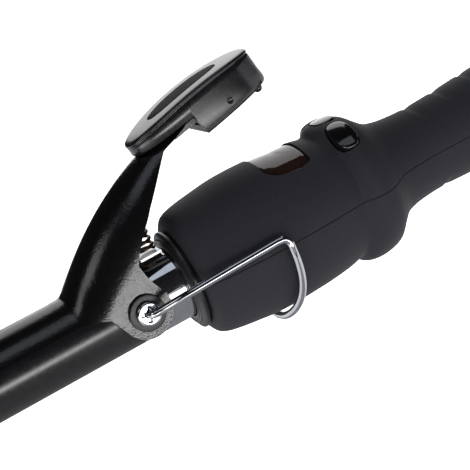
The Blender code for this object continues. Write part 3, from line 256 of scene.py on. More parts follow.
def mottle(tree, shader, tones, grain, depth, roughness=None, detail=3.0, stretch=(1, 1, 1)):
    """Two tones, a spread of roughness and a bump from one noise. Grain and depth are in metres."""
    where = add(tree, "ShaderNodeMapping", {"Vector": add(tree, "ShaderNodeTexCoord").outputs["Object"],
                                            "Scale": stretch})
    noise = add(tree, "ShaderNodeTexNoise",
                {"Vector": where.outputs[0], "Scale": 1 / grain, "Detail": detail})
    ramp = add(tree, "ShaderNodeValToRGB", {0: noise.outputs["Fac"]})
    ramp.color_ramp.elements[0].position, ramp.color_ramp.elements[1].position = 0.35, 0.65
    for element, tone in zip(ramp.color_ramp.elements, tones):
        element.color = colour(tone)
    tree.links.new(ramp.outputs["Color"], shader.inputs["Base Color"])
    if roughness is not None:
        spread = add(tree, "ShaderNodeMapRange",
                     {"Value": noise.outputs["Fac"], "From Min": 0.3, "From Max": 0.7,
                      "To Min": roughness[0], "To Max": roughness[1]})
        tree.links.new(spread.outputs[0], shader.inputs["Roughness"])
    bump = add(tree, "ShaderNodeBump", {"Height": noise.outputs["Fac"], "Strength": 1.0, "Distance": depth})
    tree.links.new(bump.outputs[0], shader.inputs["Normal"])


def glass_filled_polyamide():
    """Fine dry grain from the mould, with a satin shine."""
    made, tree, shader = start_material("glass_filled_polyamide", IOR=1.53)
    mottle(tree, shader, ("#161617", "#1c1c1e"), 0.35 * MM, 0.006 * MM, (0.30, 0.42))
    return made


def turned(outline, sides=128, close=True):
    """A mesh turned about X from (x, radius) points: rising x outside, then back inside or on the axis."""
    mesh = bmesh.new()
    rows = []
    for i in range(sides):
        a = 2 * math.pi * i / sides
        rows.append([mesh.verts.new((x, -r * math.sin(a), r * math.cos(a))) for x, r in outline])
    count = len(outline)
    for i in range(sides):
        near, far = rows[i], rows[(i + 1) % sides]
        for j in range(count if close else count - 1):
            k = (j + 1) % count
            mesh.faces.new((near[j], far[j], far[k], near[k]))
    bmesh.ops.remove_doubles(mesh, verts=mesh.verts, dist=1e-7)
    bmesh.ops.recalc_face_normals(mesh, faces=mesh.faces)
    return mesh


def softened(outline, radius, steps=3, close=True):
    """The same outline with each corner rounded, as a mould or a cutter leaves it."""
    points = [Vector(p) for p in outline]
    made = []
    for i, here in enumerate(points):
        if not close and i in (0, len(points) - 1):
            made.append(tuple(here))
            continue
        before, after = points[i - 1] - here, points[(i + 1) % len(points)] - here
        reach = min(radius, before.length / 2.1, after.length / 2.1)
        first, last = here + before.normalized() * reach, here + after.normalized() * reach
        for step in range(steps + 1):
            t = step / steps
            made.append(tuple((1 - t) ** 2 * first + 2 * t * (1 - t) * here + t * t * last))
    return made


def piece(name, mesh, finish, body, nodes=(), at=PIVOT, sharp=38):
    """Makes an object from a bmesh drawn from the pivot, shades it smooth and seats it on its body."""
    data = bpy.data.meshes.new(name)
    mesh.transform(Matrix.Translation(at))
    mesh.to_mesh(data)
    mesh.free()
    made = bpy.data.objects.new(name, data)
    bpy.context.scene.collection.objects.link(made)
    data.shade_smooth()
    data.set_sharp_from_angle(angle=math.radians(sharp))
    data.materials.append(finish)
    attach(made, body)
    if nodes:
        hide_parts(*nodes)
    return made


def millimetres(*points):
    """Points or profiles given in millimetres, in metres."""
    return [tuple(v * MM for v in point) for point in points]


TIP_X = cad_box[0].x - PIVOT.x
BARREL_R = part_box("barrel_tube")[1].z
TUBE_FRONT, TUBE_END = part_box("barrel_tube")[0].x - PIVOT.x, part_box("barrel_tube")[1].x - PIVOT.x
HAIR = 0.0003                # clearance between pieces that touch
shoulder = TUBE_FRONT - HAIR
tip_finish = glass_filled_polyamide()
tip_outline = [(TIP_X, 0), (TIP_X, 0.0050)]
TIP_R, DOME_START, DOME_LENGTH = BARREL_R + 0.0001, 0.0058, 0.0115
for i in range(13):
    t = i / 12
    round_ = math.sin(math.pi * t / 2) ** 0.62
    tip_outline.append((TIP_X + 0.0006 + DOME_LENGTH * t, DOME_START + (TIP_R - DOME_START) * round_))
for groove in (0.0118, 0.0134, 0.0150):
    tip_outline += [(TIP_X + groove + 0.0004, TIP_R), (TIP_X + groove + 0.0006, TIP_R - 0.0004),
                    (TIP_X + groove + 0.0010, TIP_R - 0.0004), (TIP_X + groove + 0.0012, TIP_R)]
tip_outline += [(shoulder, BARREL_R), (shoulder, BARREL_R - 0.0016), (shoulder + 0.012, BARREL_R - 0.0016),
                (shoulder + 0.012, 0)]
piece("tip_plug", turned(tip_outline, close=False), tip_finish, "root", ["cool_tip"])


# ---------------------------------------------------------------- barrel and its bright root
# The barrel is a drawn aluminium tube with a black ceramic coating, baked on.
# A chromed steel sleeve joins it to the handle, bright enough to mirror the studio in bands.

def ceramic_coating():
    """Semi-gloss black that spreads a reflection into a soft glow, with a faint ripple from the baking."""
    made, tree, shader = start_material("ceramic_coating", IOR=1.7)
    mottle(tree, shader, ("#0c0c0e", "#111113"), 1.2 * MM, 0.006 * MM, (0.20, 0.26), 2.0)
    return made


def chrome_plate():
    """Mirror-bright plating with a cool cast and the finest polishing haze."""
    made, tree, shader = start_material("chrome_plate", Metallic=1.0)
    mottle(tree, shader, ("#c9cbd0", "#d2d4d8"), 2.0 * MM, 0.0004 * MM, (0.04, 0.08), 2.0)
    return made


def ring_outline(x0, x1, outer, inner):
    """A plain tube's profile."""
    return [(x0, outer), (x1, outer), (x1, inner), (x0, inner)]


coating = ceramic_coating()
chrome = chrome_plate()
TUBE_BORE = BARREL_R - 0.0010
SLEEVE_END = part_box("root_sleeve")[1].x - PIVOT.x
SLEEVE_BORE = TUBE_BORE - HAIR - 0.0009
piece("barrel", turned(softened(ring_outline(TUBE_FRONT, TUBE_END, BARREL_R, TUBE_BORE), 0.0002)),
      coating, "root", ["barrel_tube"])


def cut(obj, cutter_mesh, operation="DIFFERENCE"):
    """Cuts or crosses a piece with a bmesh, and applies it."""
    data = bpy.data.meshes.new("cutter")
    cutter_mesh.to_mesh(data)
    cutter_mesh.free()
    tool = bpy.data.objects.new("cutter", data)
    bpy.context.scene.collection.objects.link(tool)
    step = obj.modifiers.new("Cut", "BOOLEAN")
    step.operation, step.solver, step.object = operation, "EXACT", tool
    apply_all(obj)
    bpy.data.objects.remove(tool, do_unlink=True)
    bpy.data.meshes.remove(data)
    obj.data.shade_smooth()
    obj.data.set_sharp_from_angle(angle=math.radians(38))


def apply_all(obj):
    """Turns a piece's modifiers into its mesh."""
    bpy.context.view_layer.update()
    seen = obj.evaluated_get(bpy.context.evaluated_depsgraph_get())
    data = bpy.data.meshes.new_from_object(seen)
    old = obj.data
    obj.modifiers.clear()
    obj.data = data
    bpy.data.meshes.remove(old)
    data.name = obj.name


def rod(start, end, radius, sides=48):
    """A round rod between two points, as a bmesh."""
    start, end = Vector(start), Vector(end)
    mesh = bmesh.new()
    turn = (end - start).to_track_quat("Z", "X").to_matrix().to_4x4()
    bmesh.ops.create_cone(mesh, cap_ends=True, segments=sides, radius1=radius, radius2=radius,
                          depth=(end - start).length, matrix=Matrix.Translation((start + end) / 2) @ turn)
    return mesh


sleeve = piece("bright_root", turned(softened([
    (TUBE_END - 0.008, TUBE_BORE - HAIR), (TUBE_END + HAIR, TUBE_BORE - HAIR), (TUBE_END + HAIR, BARREL_R),
    (SLEEVE_END, BARREL_R), (SLEEVE_END, SLEEVE_BORE), (TUBE_END - 0.008, SLEEVE_BORE)], 0.0002)),
    chrome, "root", ["root_sleeve"])
cut(sleeve, rod(PIVOT + Vector((0, -0.02, 0)), PIVOT + Vector((0, 0.02, 0)), 0.0023))


# ---------------------------------------------------------------- clamp: clip, ears and lever
# One steel pressing 0.8 mm thick: the clip that holds the hair, two ears round the pivot and the
# lever that rises to the thumb pad. It is sprayed gloss black, with orange peel.

SHEET = 0.0008
CLIP_INNER = BARREL_R + HAIR
KINK_X = -0.0154
LEVER_START, LEVER_END, LEVER_ARC = math.radians(49), math.radians(12.7), 0.086
TONGUE_LENGTH, TONGUE_HALF, NECK_HALF = 0.0155, 0.0054, 0.0076
EAR_RADIUS, PAD_ARCH, ROOT_BLEND = 0.0068, 0.0021, 0.0009
CLIP_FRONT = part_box("clamp_plate")[0].x - PIVOT.x


def sprayed_enamel():
    """Glossy black with the orange peel of sprayed stoving enamel."""
    made, tree, shader = start_material("sprayed_enamel", IOR=1.62, Roughness=0.16)
    mottle(tree, shader, ("#060607", "#0a0a0b"), 0.50 * MM, 0.050 * MM, detail=1.5)
    return made


def lever_end():
    """Where the lever's arc runs out into the straight tongue, along the tool and up."""
    return (KINK_X + LEVER_ARC * (math.sin(LEVER_START) - math.sin(LEVER_END)),
            CLIP_INNER + LEVER_ARC * (math.cos(LEVER_END) - math.cos(LEVER_START)))


def lever_crest(x):
    """Height of the pressing's inner face over the centre line."""
    if x <= KINK_X - 0.004:
        return CLIP_INNER + 0.0012 * max(0.0, 1 - (x - CLIP_FRONT) / 0.0030) ** 2
    end = lever_end()
    if x >= end[0]:
        return end[1] + (x - end[0]) * math.tan(LEVER_END)
    if x < KINK_X:
        rise = (x - KINK_X) * math.tan(LEVER_START)
    else:
        angle = math.asin(math.sin(LEVER_START) - (x - KINK_X) / LEVER_ARC)
        rise = LEVER_ARC * (math.cos(angle) - math.cos(LEVER_START))
    return CLIP_INNER + (rise + math.sqrt(rise ** 2 + ROOT_BLEND ** 2)) / 2


def ease(x, low, high):
    """0 below low, 1 above high, smooth between."""
    t = min(max((x - low) / (high - low), 0), 1)
    return t * t * (3 - 2 * t)


def plate_section(x, steps=36):
    """The pressing's inner face at x, an upside-down U."""
    end_x = lever_end()[0]
    half = CLIP_INNER + (NECK_HALF - SHEET - CLIP_INNER) * ease(x, 0.010, end_x - 0.007)
    half += (TONGUE_HALF - half) * ease(x, end_x - 0.0010, end_x + 0.0006)
    tall = 1 + 0.45 * ease(x, KINK_X, KINK_X + 0.007)
    crown = half * tall + (0.0016 - half * tall) * ease(x, end_x - 0.0105, end_x - 0.0010)
    crest = lever_crest(x)
    leg = 0.018 + 0.012 * ease(x, KINK_X, 0.0) - 0.022 * ease(x, 0.012, end_x)
    low = crest - crown - leg
    spots = [(x, -half, low + leg * i / 3) for i in range(3)]
    for step in range(steps + 1):
        a = math.pi * (step / steps - 0.5)
        spots.append((x, half * math.sin(a), crest - crown + crown * math.cos(a)))
    return spots + [(x, half, low + leg * i / 3) for i in (2, 1, 0)]


def arc(centre, radius, start, end, count):
    """Points along an arc, in degrees."""
    steps = [math.radians(start + (end - start) * i / count) for i in range(count + 1)]
    return [(centre[0] + radius * math.cos(a), centre[1] + radius * math.sin(a)) for a in steps]


def curve_through(points, steps):
    """A smooth line through points, with steps between two of them."""
    points = [Vector(p) for p in points]
    ends = [2 * points[0] - points[1]] + points + [2 * points[-1] - points[-2]]
    made = []
    for i in range(1, len(ends) - 2):
        a, b, c, d = ends[i - 1:i + 3]
        for step in range(steps):
            t = step / steps
            made.append(0.5 * (2 * b + (c - a) * t + (2 * a - 5 * b + 4 * c - d) * t ** 2
                               + (3 * b - a - 3 * c + d) * t ** 3))
    return made + [points[-1]]


def plate_side_view():
    """The pressing's outline from the side: clip, ear, waist, lever and tongue."""
    edge = CLIP_INNER * math.cos(math.radians(63))
    end_x, end_z = lever_end()
    tongue_x = end_x + TONGUE_LENGTH * math.cos(LEVER_END)
    shoulder = Vector((-1.29 * EAR_RADIUS, 0.36 * EAR_RADIUS))
    reach = math.degrees(math.acos(EAR_RADIUS / shoulder.length))
    bearing = math.degrees(math.atan2(shoulder.y, shoulder.x))
    ear = arc((0, 0), EAR_RADIUS, bearing + reach, 360 + 14, 44)
    waist = millimetres((6.12, 2.86), (4.9, 5.2), (3.94, 7.6), (3.3, 10.3), (3.2, 11.5))
    rear = millimetres((5.15, 14.6), (7.45, 17.6), (9.8, 20.0), (12.1, 22.6), (14.4, 25.3))
    lever = [(end_x - b, lever_crest(end_x - b) - d) for b, d in ((0.0085, 0.0022), (0.0055, 0.0018))]
    top = 0.075
    clip = [(CLIP_FRONT - 0.002, top), (CLIP_FRONT - 0.002, 0.0085), (CLIP_FRONT + 0.0005, 0.0068)]
    clip += [tuple(p) for p in curve_through([(CLIP_FRONT + 0.0008, 0.0062), (CLIP_FRONT + 0.0018, 0.0050),
                                              (CLIP_FRONT + 0.0035, edge)], 5)]
    foot = [(KINK_X - 0.004, edge), (KINK_X, edge - 0.0001), (KINK_X + 0.003, edge - 0.0005),
            (shoulder.x - 0.0018, edge - 0.0012), tuple(shoulder)]
    foot = [tuple(p) for p in curve_through(foot, 4)]
    line = [tuple(p) for p in curve_through([ear[-1]] + waist + rear[:4], 4)][1:]
    tongue = [(end_x, end_z - 0.0003), (tongue_x, lever_crest(tongue_x) - 0.0003), (tongue_x, top)]
    return clip + foot + ear + line + lever + tongue


def prism(outline, low, high, across="Y"):
    """A flat outline drawn out between two places along Y or Z, as a bmesh."""
    mesh = bmesh.new()
    put = (lambda a, b, c: (a, c, b)) if across == "Y" else (lambda a, b, c: (a, b, c))
    first = [mesh.verts.new(put(a, b, low)) for a, b in outline]
    last = [mesh.verts.new(put(a, b, high)) for a, b in outline]
    mesh.faces.new(first)
    mesh.faces.new(last)
    for i in range(len(outline)):
        j = (i + 1) % len(outline)
        mesh.faces.new((first[i], first[j], last[j], last[i]))
    bmesh.ops.recalc_face_normals(mesh, faces=mesh.faces)
    return mesh


def loft(sections):
    """An open sheet through like sections."""
    mesh = bmesh.new()
    rows = [[mesh.verts.new(spot) for spot in section] for section in sections]
    for first, second in zip(rows, rows[1:]):
        for i in range(len(first) - 1):
            mesh.faces.new((first[i], second[i], second[i + 1], first[i + 1]))
    return mesh


enamel = sprayed_enamel()
end_x, end_z = lever_end()
tongue_x = end_x + TONGUE_LENGTH * math.cos(LEVER_END)
stations = [CLIP_FRONT + 0.0004 * i for i in range(9)]
stations += [CLIP_FRONT + 0.0035 + 0.02 * i for i in range(1, 6)]
stations += [KINK_X - 0.0045] + [KINK_X - 0.0040 + 0.0005 * i for i in range(8)]
stations += [KINK_X + (end_x - 0.0012 - KINK_X) * i / 48 for i in range(49)]
stations += [end_x - 0.0006, end_x - 0.0001, end_x + 0.0003, end_x + 0.0007]
stations += [tongue_x - 0.002, tongue_x + 0.001]
clamp = piece("clamp_pressing", loft([plate_section(x) for x in stations]), enamel, "clamp",
              ["clamp_plate"])
skin = clamp.modifiers.new("Sheet", "SOLIDIFY")
skin.thickness, skin.offset = SHEET, 1
apply_all(clamp)
side_view = prism(plate_side_view(), -0.015, 0.015)
side_view.transform(Matrix.Translation(PIVOT))
cut(clamp, side_view, "INTERSECT")
cut(clamp, rod(PIVOT + Vector((0, -0.02, 0)), PIVOT + Vector((0, 0.02, 0)), 0.0024))

# A small generic mark, a ring and a bar, is stamped in the left ear.
EAR_OUT, STAMP_DEPTH = CLIP_INNER + SHEET, 0.00016
stamp = turned(ring_outline(-EAR_OUT - 0.001, -EAR_OUT + STAMP_DEPTH, 0.00105, 0.00065), 32)
stamp.transform(Matrix.Translation(PIVOT + Vector((-0.0047, 0, 0.0058)))
                @ Matrix.Rotation(math.radians(90), 4, "Z"))
cut(clamp, stamp)
bar = bmesh.new()
bmesh.ops.create_cube(bar, size=1, matrix=Matrix.Translation(PIVOT + Vector((-0.0029, -EAR_OUT, 0.0068)))
                      @ Matrix.Rotation(math.radians(-30), 4, "Y")
                      @ Matrix.Diagonal((0.0004, 2 * STAMP_DEPTH, 0.0020, 1)))
cut(clamp, bar)


# ---------------------------------------------------------------- thumb pad
# A hollow ABS moulding, satin black, screwed to the lever's tongue. Its top is an arched oval
# with a soft inlay, and the deeper box at its rear takes the tongue, the liner and the screw.

PAD_LENGTH, PAD_WIDTH, PAD_SKIRT, PAD_BOX_DEPTH, PAD_BOX_FRONT = 0.0391, 0.0166, 0.0033, 0.0092, -0.0028


def matt_rubber():
    """A soft matt oval let into the pad, with hardly any shine."""
    made, tree, shader = start_material("matt_rubber", IOR=1.40, Specular_IOR_Level=0.12)
    mottle(tree, shader, ("#1a1a1c", "#202022"), 0.30 * MM, 0.004 * MM, (0.60, 0.68), 2.0)
    return made


def satin_abs():
    """Black with a satin shine, from a mould finished with fine stone, and a faint flow ripple."""
    made, tree, shader = start_material("satin_abs", IOR=1.68)
    mottle(tree, shader, ("#0f0f11", "#131315"), 1.2 * MM, 0.0012 * MM, (0.19, 0.23), 2.0)
    return made


def polished_abs():
    """Deep gloss black with a trace of flow ripple, as a polished mould gives."""
    made, tree, shader = start_material("polished_abs", IOR=1.54, Coat_Weight=0.5, Coat_Roughness=0.03)
    mottle(tree, shader, ("#08080a", "#0c0c0d"), 5.0 * MM, 0.012 * MM, (0.10, 0.15), 1.5)
    return made


def soft_lacquer():
    """Soft-touch rubber lacquer: velvety near-black with a very fine grain and a little sheen."""
    made, tree, shader = start_material("soft_lacquer", IOR=1.45, Sheen_Weight=0.03, Sheen_Roughness=0.4,
                                        Specular_IOR_Level=0.14)
    mottle(tree, shader, ("#252429", "#2b2a2f"), 0.30 * MM, 0.010 * MM, (0.56, 0.64), 2.0)
    return made


def superoval(length, width, count=96, power=2.4):
    """A rounded oval about the origin."""
    made = []
    for i in range(count):
        a = 2 * math.pi * i / count
        c, s = math.cos(a), math.sin(a)
        made.append((length / 2 * math.copysign(abs(c) ** (2 / power), c),
                     width / 2 * math.copysign(abs(s) ** (2 / power), s)))
    return made


def stacked(rings):
    """A closed mesh through rings of points, closed at both ends by a fan to the middle."""
    mesh = bmesh.new()
    rows = [[mesh.verts.new(spot) for spot in ring] for ring in rings]
    count = len(rings[0])
    for first, second in zip(rows, rows[1:]):
        for i in range(count):
            j = (i + 1) % count
            mesh.faces.new((first[i], first[j], second[j], second[i]))
    for row, ring in ((rows[0], rings[0]), (rows[-1], rings[-1])):
        centre = mesh.verts.new(sum((Vector(p) for p in ring), Vector()) / count)
        for i in range(count):
            mesh.faces.new((row[i], row[(i + 1) % count], centre))
    bmesh.ops.recalc_face_normals(mesh, faces=mesh.faces)
    return mesh


along = Vector((math.cos(LEVER_END), 0, math.sin(LEVER_END)))
out = Vector((-math.sin(LEVER_END), 0, math.cos(LEVER_END)))
pad_middle = Vector((end_x, 0, end_z)) + along * 0.0044 + out * (0.0023 + SHEET)
PAD = Matrix.Translation(pad_middle) @ Matrix((along, Vector((0, 1, 0)), out)).transposed().to_4x4()
gloss = polished_abs()
satin = satin_abs()
lacquer = soft_lacquer()


def pad_height(u, v):
    """The pad's arched and slightly domed top."""
    return PAD_ARCH * (1 - (2 * u / PAD_LENGTH) ** 2) + 0.0002 * (1 - (2 * v / PAD_WIDTH) ** 2)


def pad_ring(inset, drop, lift=1.0):
    """A ring of the pad's oval, inset from its rim and dropped from its top, or at the skirt's level."""
    share = 1 - 2 * inset / PAD_WIDTH
    ring = []
    for u, v in superoval(PAD_LENGTH, PAD_WIDTH):
        u, v = u * (1 - 2 * inset / PAD_LENGTH), v * share
        ring.append((u, v, lift * pad_height(u, v) - drop))
    return ring


def well_ring(grow, depth):
    """A ring of the inlay's oval on the pad's top, at a depth under it."""
    return [(u, v, pad_height(u, v) - depth) for u, v in superoval(0.0215 + 2 * grow, 0.0078 + 2 * grow)]


rings = [pad_ring(*step) for step in (
    (0.0012, PAD_SKIRT - 0.0010, 0.4), (0.0011, PAD_SKIRT, 0.0), (0.0004, PAD_SKIRT, 0.0),
    (0.00015, PAD_SKIRT - 0.0002, 0.05), (0.00015, 0.0013, 0.85), (0.0003, 0.00115, 0.9),
    (0.0003, 0.00095, 0.93), (0.00005, 0.0008), (0.0, 0.0006), (0.00008, 0.0003), (0.0003, 0.0001),
    (0.0006, 0.0))]
rings += [pad_ring(0.0008 * i, 0.0) for i in range(2, 6)]
rings += [well_ring(HAIR, 0.0), well_ring(HAIR, 0.00045)]
top = stacked(rings)
top.transform(PAD)
piece("thumb_pad_top", top, satin, "clamp", ["thumb_pad"], sharp=50)

inlay_rings = [well_ring(0, 0.00040), well_ring(0, 0.00010), well_ring(-0.0002, -0.00002)]
for share in (0.8, 0.5, 0.2):
    lift = 0.0001 * (1 - share) - 0.00002
    inlay_rings.append([(u * share, v * share, pad_height(u * share, v * share) + lift)
                        for u, v in superoval(0.0211, 0.0074)])
inlay = stacked(inlay_rings)
inlay.transform(PAD)
piece("thumb_pad_soft_inlay", inlay, matt_rubber(), "clamp", ["thumb_pad_inlay"])

box_outline = [p for p in superoval(PAD_LENGTH - 0.00024, PAD_WIDTH - 0.00024, 144) if p[0] > PAD_BOX_FRONT]
box_outline.sort(key=lambda p: math.atan2(p[1], p[0]))
half_round = box_outline[-1][1]
box_outline = [(PAD_BOX_FRONT, box_outline[0][1])] + box_outline + [(PAD_BOX_FRONT, half_round)]
box_outline = softened(box_outline, 0.0009, 2)
POCKET_HALF, POCKET_END = TONGUE_HALF + SHEET + HAIR, TONGUE_LENGTH - 0.0044 + 2 * HAIR


def box_ring(inset, w, tilt=0.0):
    """The rear box's outline, inset all round, at a depth under the pad."""
    return [(u * (1 - 2 * inset / PAD_LENGTH) + tilt, v * (1 - 2 * inset / PAD_WIDTH), w)
            for u, v in box_outline]


deep = -PAD_BOX_DEPTH
box_mesh = stacked([box_ring(*step) for step in (
    (0.0, -0.0012), (0.0, -0.0032), (0.00005, -0.0055), (0.0002, deep + 0.0016, 0.0003),
    (0.0004, deep + 0.0006, 0.0004), (0.0008, deep + 0.0001, 0.0005), (0.0014, deep, 0.0005))])
box_mesh.transform(PAD)
pad_box = piece("thumb_pad_box", box_mesh, satin, "clamp", sharp=50)


def block(low, high, matrix=Matrix()):
    """A box between two corners, as a bmesh."""
    mesh = bmesh.new()
    size = [b - a for a, b in zip(low, high)]
    middle = [(a + b) / 2 for a, b in zip(low, high)]
    bmesh.ops.create_cube(mesh, size=1,
                          matrix=matrix @ Matrix.Translation(middle) @ Matrix.Diagonal((*size, 1)))
    return mesh


world_pad = Matrix.Translation(PIVOT) @ PAD
cut(pad_box, block((-0.03, -POCKET_HALF, -0.0066), (POCKET_END, POCKET_HALF, 0.001), world_pad))
dimple = bmesh.new()
bmesh.ops.create_uvsphere(dimple, u_segments=24, v_segments=16, radius=0.0011,
                          matrix=world_pad @ Matrix.Translation((0.0070, -0.0084, -0.0062)))
cut(pad_box, dimple)
cut(pad_box, rod(world_pad @ Vector((0.0045, 0, -0.02)), world_pad @ Vector((0.0045, 0, -0.006)), 0.0026))

stop = bmesh.new()
bmesh.ops.create_uvsphere(stop, u_segments=32, v_segments=20, radius=0.0012)
for vertex in stop.verts:
    vertex.co.z = max(vertex.co.z, -0.0011)
stop.transform(PAD @ Matrix.Translation((PAD_LENGTH / 2 - 0.0030, 0, deep - 0.0010)))
piece("stop_bead", stop, satin, "clamp", ["pad_stop"])


# ---------------------------------------------------------------- spring and its seat
# A coil of oil-blackened spring steel stands on a small zinc-plated seat over the root sleeve.
# It pushes the lever up, which closes the clip.

def blackened_steel():
    """Dark brown oxide, mottled paler in patches."""
    made, tree, shader = start_material("blackened_steel", Metallic=1.0)
    mottle(tree, shader, ("#3a2e26", "#6a5848"), 0.5 * MM, 0.004 * MM, (0.28, 0.45))
    return made


def zinc_plate():
    """Pale grey metal with a dull, slightly cloudy brightness."""
    made, tree, shader = start_material("zinc_plate", Metallic=1.0)
    mottle(tree, shader, ("#b9bbbd", "#cfd0d1"), 0.8 * MM, 0.003 * MM, (0.28, 0.42))
    return made


def tube(route, radius, sides=20, cap=True):
    """A round wire along a list of points, as a bmesh, without twist."""
    mesh = bmesh.new()
    route = [Vector(p) for p in route]
    facing = None
    rows = []
    for i, here in enumerate(route):
        ahead = (route[min(i + 1, len(route) - 1)] - route[max(i - 1, 0)]).normalized()
        if facing is None:
            facing = ahead.orthogonal().normalized()
        facing = (facing - ahead * facing.dot(ahead)).normalized()
        other = ahead.cross(facing)
        rows.append([mesh.verts.new(here + radius * (facing * math.cos(a) + other * math.sin(a)))
                     for a in [2 * math.pi * k / sides for k in range(sides)]])
    for first, second in zip(rows, rows[1:]):
        for k in range(sides):
            m = (k + 1) % sides
            mesh.faces.new((first[k], first[m], second[m], second[k]))
    mesh.faces.new(rows[0])
    mesh.faces.new(rows[-1])
    bmesh.ops.recalc_face_normals(mesh, faces=mesh.faces)
    return mesh


SPRING_X, COIL_RADIUS, COIL_WIRE, COIL_TURNS = 0.0085, 0.0022, 0.00045, 9
seat_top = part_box("spring_seat")[1].z
spring_low, spring_high = seat_top + HAIR / 2 + COIL_WIRE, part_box("clamp_spring")[1].z - COIL_WIRE
coil = []
for i in range(COIL_TURNS * 24 + 1):
    t = i / (COIL_TURNS * 24)
    share = ease(t, 0, 1) * 0.25 + t * 0.75
    a = 2 * math.pi * COIL_TURNS * t
    coil.append((SPRING_X + COIL_RADIUS * math.cos(a), COIL_RADIUS * math.sin(a),
                 spring_low + (spring_high - spring_low) * share))
oxide = blackened_steel()
spring = piece("lever_spring", tube(coil, COIL_WIRE, 12), oxide, "root", ["clamp_spring"])
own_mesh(spring)
zinc = zinc_plate()
seat = frame["nodes"]["spring_seat"]
seat.data.materials.clear()
seat.data.materials.append(zinc)


# ---------------------------------------------------------------- pivot screws and their rings
# Each ear turns on a chromed screw with a cross recess, over a black shoulder ring. The stand's wire
# ends in the middle of the screw.

SHOULDER_IN = CLIP_INNER + SHEET + HAIR
HEAD_IN = SHOULDER_IN + 0.0008 + HAIR
HEAD_OUT = HEAD_IN + 0.0011
WIRE_SEAT = SLEEVE_BORE + 0.0018      # how far in the stand's wire reaches


def facing_side(mesh, side):
    """Turns a mesh drawn about X so that it points out to one side, along Y."""
    mesh.transform(Matrix.Rotation(math.radians(90 * side), 4, "Z"))
    return mesh


for side, hand in ((-1, "left"), (1, "right")):
    ring = turned(softened(ring_outline(SHOULDER_IN, SHOULDER_IN + 0.0008, 0.0047, 0.0023), 0.00025), 64)
    piece(f"shoulder_{hand}", facing_side(ring, side), tip_finish, "root", [f"shoulder_ring_{hand}"])
    head = [(SLEEVE_BORE + HAIR, 0.0), (SLEEVE_BORE + HAIR, 0.0020), (HEAD_IN, 0.0020), (HEAD_IN, 0.0028),
            (HEAD_IN + 0.00015, 0.0031), (HEAD_IN + 0.0008, 0.0031), (HEAD_OUT - 0.0001, 0.00295),
            (HEAD_OUT - 0.00001, 0.0028), (HEAD_OUT, 0.0025), (HEAD_OUT, 0.0)]
    mesh = turned(head, 64, close=False)
    screw = piece(f"screw_{hand}", facing_side(mesh, side), chrome, "root", [f"pivot_screw_{hand}"])
    mid = PIVOT + Vector((0, side * (HEAD_OUT - 0.0002), 0))
    for turn in (20, 110):
        cut(screw, block((-0.0022, -0.0009, -0.00062), (0.0022, 0.0009, 0.00062),
                         Matrix.Translation(mid) @ Matrix.Rotation(math.radians(turn), 4, "Y")))
    cut(screw, rod(PIVOT + Vector((0, side * WIRE_SEAT, 0)), PIVOT + Vector((0, side * 0.02, 0)),
                   0.00124, 32))


# ---------------------------------------------------------------- housing and handle
# Two halves of ABS, screwed together, their joint on the middle plane. Outside they carry a
# soft-touch lacquer. A raised ridge round the rear holds the keys, and finger notches cross the grip.

WALL = 0.0020
END_X, END_R = 0.1720, 0.0120
STATIONS = millimetres(
    (15.0, 15.2), (17.2, 16.9), (21.2, 17.9), (26.2, 18.6), (31.4, 19.2), (36.8, 19.35), (42.1, 19.2),
    (47.5, 18.95), (52.9, 18.45), (57.4, 17.80), (59.1, 17.50), (60.0, 17.80), (61.3, 19.00), (63.6, 19.72),
    (66.4, 19.6), (69.4, 18.5), (72.2, 15.9), (75.0, 13.5), (77.8, 12.5), (80.6, 12.0), (86.3, 11.6),
    (94.8, 11.8), (106.4, 12.6), (120, 13.3), (135, 13.6), (155, 13.0), (172, 12.0))


def profile_radius(x):
    """The housing's outside radius on a smooth line through its stations."""
    for i in range(len(STATIONS) - 1):
        (x0, r0), (x1, r1) = STATIONS[i], STATIONS[i + 1]
        if x <= x1 or i == len(STATIONS) - 2:
            slopes = []
            for j in (i, i + 1):
                a, b = STATIONS[max(j - 1, 0)], STATIONS[min(j + 1, len(STATIONS) - 1)]
                slopes.append((b[1] - a[1]) / (b[0] - a[0]))
            span = x1 - x0
            t = min(max((x - x0) / span, 0), 1)
            return (r0 * (1 + 2 * t) * (1 - t) ** 2 + slopes[0] * span * t * (1 - t) ** 2
                    + r1 * t * t * (3 - 2 * t) - slopes[1] * span * t * t * (1 - t))


NOTCHES = [0.0880 + 0.0091 * i for i in range(6)]


def housing_radius(x, angle):
    """Outside radius at x and at an angle from the top, with the ridge's sweep and the finger notches."""
    c = math.cos(angle)
    sweep = 0.0022 - 0.0036 * ((1 + c) / 2) ** 16 - 0.0037 * ((1 - c) / 2) ** 2.5
    moved = x - sweep * ease(x, 0.0535, 0.0580) * (1 - ease(x, 0.0615, 0.0700))
    radius = profile_radius(moved)
    if x > 0.080:
        turn = min(abs(angle), math.pi - abs(angle))
        reach = 1 - ease(turn, math.radians(25), math.radians(52))
        for notch in NOTCHES:
            d = (x - notch - 0.0022 * turn ** 2) / 0.00055
            radius -= 0.00040 * reach * math.exp(-(d * d if d < 0 else d * d / 10))
    return radius


